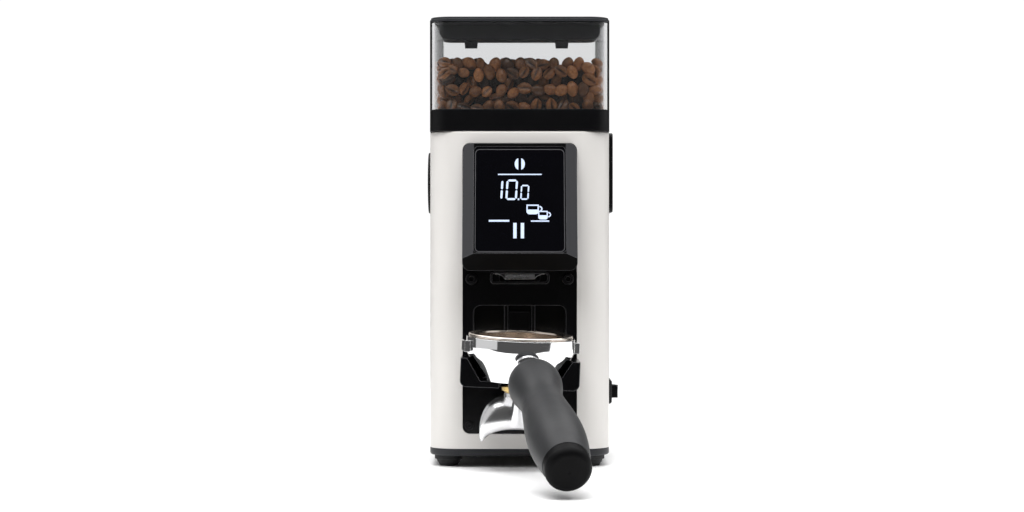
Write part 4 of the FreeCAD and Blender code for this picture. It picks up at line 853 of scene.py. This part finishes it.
def cup(bm, u, v, width, height, line):
    """Side view of a coffee cup, partly full, with its handle on the right."""
    bend = width * 0.26
    inner_bend = bend - line * 0.6
    outer = mug_outline(u, v, width, height, bend)
    inner = mug_outline(u + line, v + line, width - 2 * line, height - line, inner_bend)
    lit_shape(bm, band(outer, inner))
    lit_shape(bm, bar(u + line, v + height - line, width - 2 * line, line))
    lit_shape(bm, mug_outline(u + line, v + line, width - 2 * line, height * 0.36, inner_bend))
    handle_v = v + height * 0.56
    outside = arc_points(u + width, handle_v, height * 0.36, height * 0.32, -80, 80, 8)
    inside = arc_points(u + width, handle_v, height * 0.36 - line, height * 0.32 - line, -80, 80, 8)
    lit_shape(bm, band(outside, inside))


def make_display_symbols():
    """A plain number, two cups over a rule, and a short rule over two upright bars."""
    bm = bmesh.new()
    digit(bm, "1", -0.0172, NUMBER_V, 0.0045, TALL_DIGIT)
    digit(bm, "0", -0.0092, NUMBER_V, 0.0065, TALL_DIGIT)
    lit_shape(bm, bar(-0.0015, POINT_V, POINT_SIZE, POINT_SIZE))
    digit(bm, "0", 0.0007, NUMBER_V, 0.0048, SMALL_DIGIT)
    cup(bm, 0.0045, 0.0275, 0.0085, 0.0070, 0.0009)
    cup(bm, 0.0125, 0.0238, 0.0066, 0.0062, 0.0008)
    lit_shape(bm, bar(0.0075, RULE_V, 0.0125, 0.0009))
    lit_shape(bm, bar(-0.0212, RULE_V, 0.0140, 0.0013))
    for u in (-0.0045, 0.0006):
        lit_shape(bm, bar(u, PAUSE_V, *PAUSE_BAR))
    new_piece("display_symbols", bm, LIT, "housing", smooth=False)


def rounded_frame(half_u, low_v, high_v, bend):
    """Closed outline of a rectangle with rounded corners, anticlockwise from the lower right corner."""
    points = []
    for cu, cv, start in ((half_u - bend, low_v + bend, 270), (half_u - bend, high_v - bend, 0),
                          (bend - half_u, high_v - bend, 90), (bend - half_u, low_v + bend, 180)):
        points += arc_points(cu, cv, bend, bend, start, start + 90, 6)
    return points


def make_glass_lip():
    """Thin lip where the glass meets its frame, coloured lighter grey as a painted highlight line round the
    glass.
    """
    half_u = (GLASS_HIGH.x - GLASS_LOW.x) / 2 - LIP_MARGIN
    high_v = (GLASS_HIGH.z - GLASS_LOW.z) / math.cos(LEAN) - LIP_TOP_MARGIN
    outer = rounded_frame(half_u, LIP_MARGIN, high_v, LIP_BEND)
    inner = rounded_frame(half_u - LIP_WIDTH, LIP_MARGIN + LIP_WIDTH, high_v - LIP_WIDTH,
                          LIP_BEND - LIP_WIDTH)
    bm = bmesh.new()
    rings = []
    for outline, lift in ((outer, LIP_LOW), (outer, LIP_HIGH), (inner, LIP_HIGH), (inner, LIP_LOW)):
        rings.append([bm.verts.new(on_glass(u, v, lift)) for u, v in outline])
    for ring, following in zip(rings, rings[1:] + rings[:1]):
        join_rings(bm, ring, following)
    new_piece("glass_lip", bm, painted_highlight_lip(), "housing", smooth=False)


def make_bean_mark():
    """Small plain bean over a thin line above the number."""
    bm = bmesh.new()
    for offset, start, end in ((-0.0005, 100, 260), (0.0005, -80, 80)):
        lit_shape(bm, arc_points(offset, BEAN_MARK_V, 0.0030, 0.0042, start, end, 14))
    lit_shape(bm, bar(-0.0150, HEADER_V, 0.0300, 0.0008))
    new_piece("display_header", bm, LIT, "housing", smooth=False)


make_display_symbols()
make_glass_lip()
make_bean_mark()


# ---------------------------------------------------------------- stage, light and camera
FLOOR_HALF_W = 0.9
FLOOR_FRONT = -0.28           # the floor ends in front of the grinder, so chrome also mirrors the dim studio
FLOOR_REAR = 0.9
BACKDROP_STRENGTH = 1.05      # the white that the camera sees
STUDIO_STRENGTH = 0.09        # the soft light that reaches surfaces from all round
THROUGH_SHARE = 0.72          # share of the white seen through the clear hopper
WALL_CROSSINGS = 2.5          # a mirrored ray that has crossed more surfaces doesn't see the white
AIM = (0.0, 0.0, 0.16)        # what the lamps point at
CAMERA_LENS = 76.25
CAMERA_SENSOR = 36.0
CAMERA_X = -0.00535
CAMERA_DISTANCE = 1.5
CAMERA_HEIGHT = 0.1463


def make_floor():
    bm = bmesh.new()
    corners = ((-FLOOR_HALF_W, FLOOR_FRONT), (FLOOR_HALF_W, FLOOR_FRONT),
               (FLOOR_HALF_W, FLOOR_REAR), (-FLOOR_HALF_W, FLOOR_REAR))
    bm.faces.new([bm.verts.new((x, y, 0.0)) for x, y in corners])
    look = Look("floor_white", (0.93, 0.93, 0.93), 0.6, Specular_IOR_Level=0.2)
    look.grain(scale=3.0, tint=0.995)
    floor = add_object("floor", mesh_from("floor", bm, look))


def white_share(tree):
    """Share of the white that a ray sees: all from the camera, less through clear plastic, otherwise none."""
    path = tree.nodes.new("ShaderNodeLightPath").outputs
    crossed = math_node(tree, "GREATER_THAN", path["Transmission Depth"], WALL_CROSSINGS)
    bounced = math_node(tree, "MULTIPLY_ADD", path["Glossy Depth"], crossed, path["Diffuse Depth"])
    direct = math_node(tree, "SUBTRACT", 1.0, bounced, clamp=True)
    straight = math_node(tree, "MULTIPLY", path["Is Transmission Ray"], direct)
    through = math_node(tree, "MULTIPLY", straight, THROUGH_SHARE)
    return math_node(tree, "MAXIMUM", path["Is Camera Ray"], through)


def make_world():
    """White behind the object, and a dim even light on it."""
    world = bpy.data.worlds.new("studio")
    bpy.context.scene.world = world
    world.use_nodes = True
    tree = world.node_tree
    backdrop = tree.nodes["Background"]
    backdrop.inputs["Color"].default_value = (1.0, 1.0, 1.0, 1.0)
    backdrop.inputs["Strength"].default_value = BACKDROP_STRENGTH
    studio = tree.nodes.new("ShaderNodeBackground")
    studio.inputs["Color"].default_value = (1.0, 0.99, 0.98, 1.0)
    studio.inputs["Strength"].default_value = STUDIO_STRENGTH
    mix = tree.nodes.new("ShaderNodeMixShader")
    tree.links.new(white_share(tree), mix.inputs["Fac"])
    tree.links.new(studio.outputs["Background"], mix.inputs[1])
    tree.links.new(backdrop.outputs["Background"], mix.inputs[2])
    tree.links.new(mix.outputs["Shader"], tree.nodes["World Output"].inputs["Surface"])


def area_light(name, place, target, width, height, power, mirrored=True):
    """A soft rectangular lamp. One that isn't mirrored shows neither in gloss nor through clear plastic."""
    data = bpy.data.lights.new(name, "AREA")
    data.shape = "RECTANGLE"
    data.size = width
    data.size_y = height
    data.energy = power
    lamp = add_object(name, data)
    lamp.location = place
    lamp.rotation_euler = (Vector(target) - Vector(place)).to_track_quat("-Z", "Y").to_euler()
    lamp.visible_glossy = mirrored
    lamp.visible_transmission = mirrored


def make_lamps():
    area_light("top", (0.0, 0.3, 2.2), (0.0, 0.3, 0.0), width=3.8, height=3.8, power=140)
    area_light("left_card", (-1.48, -0.30, 0.60), AIM, width=1.9, height=1.5, power=5.4)
    area_light("right_card", (1.49, 0.14, 0.60), AIM, width=1.6, height=1.5, power=6.2)
    area_light("fill", (-0.5, -2.2, 1.3), AIM, width=1.6, height=1.6, power=2.5, mirrored=False)
    area_light("upper", (-0.08, -0.45, 0.75), (0.0, 0.0, 0.25), width=0.6, height=0.35, power=4.4,
               mirrored=False)


def make_camera():
    """Level camera in front of the grinder."""
    data = bpy.data.cameras.new("camera")
    data.lens = CAMERA_LENS
    data.sensor_width = CAMERA_SENSOR
    camera = add_object("camera", data)
    camera.location = (CAMERA_X, FRONT_Y - CAMERA_DISTANCE, CAMERA_HEIGHT)
    camera.rotation_euler = (math.radians(90), 0, 0)
    bpy.context.scene.camera = camera


make_floor()
make_world()
make_lamps()
make_camera()
bpy.context.scene.view_settings.view_transform = "Standard"
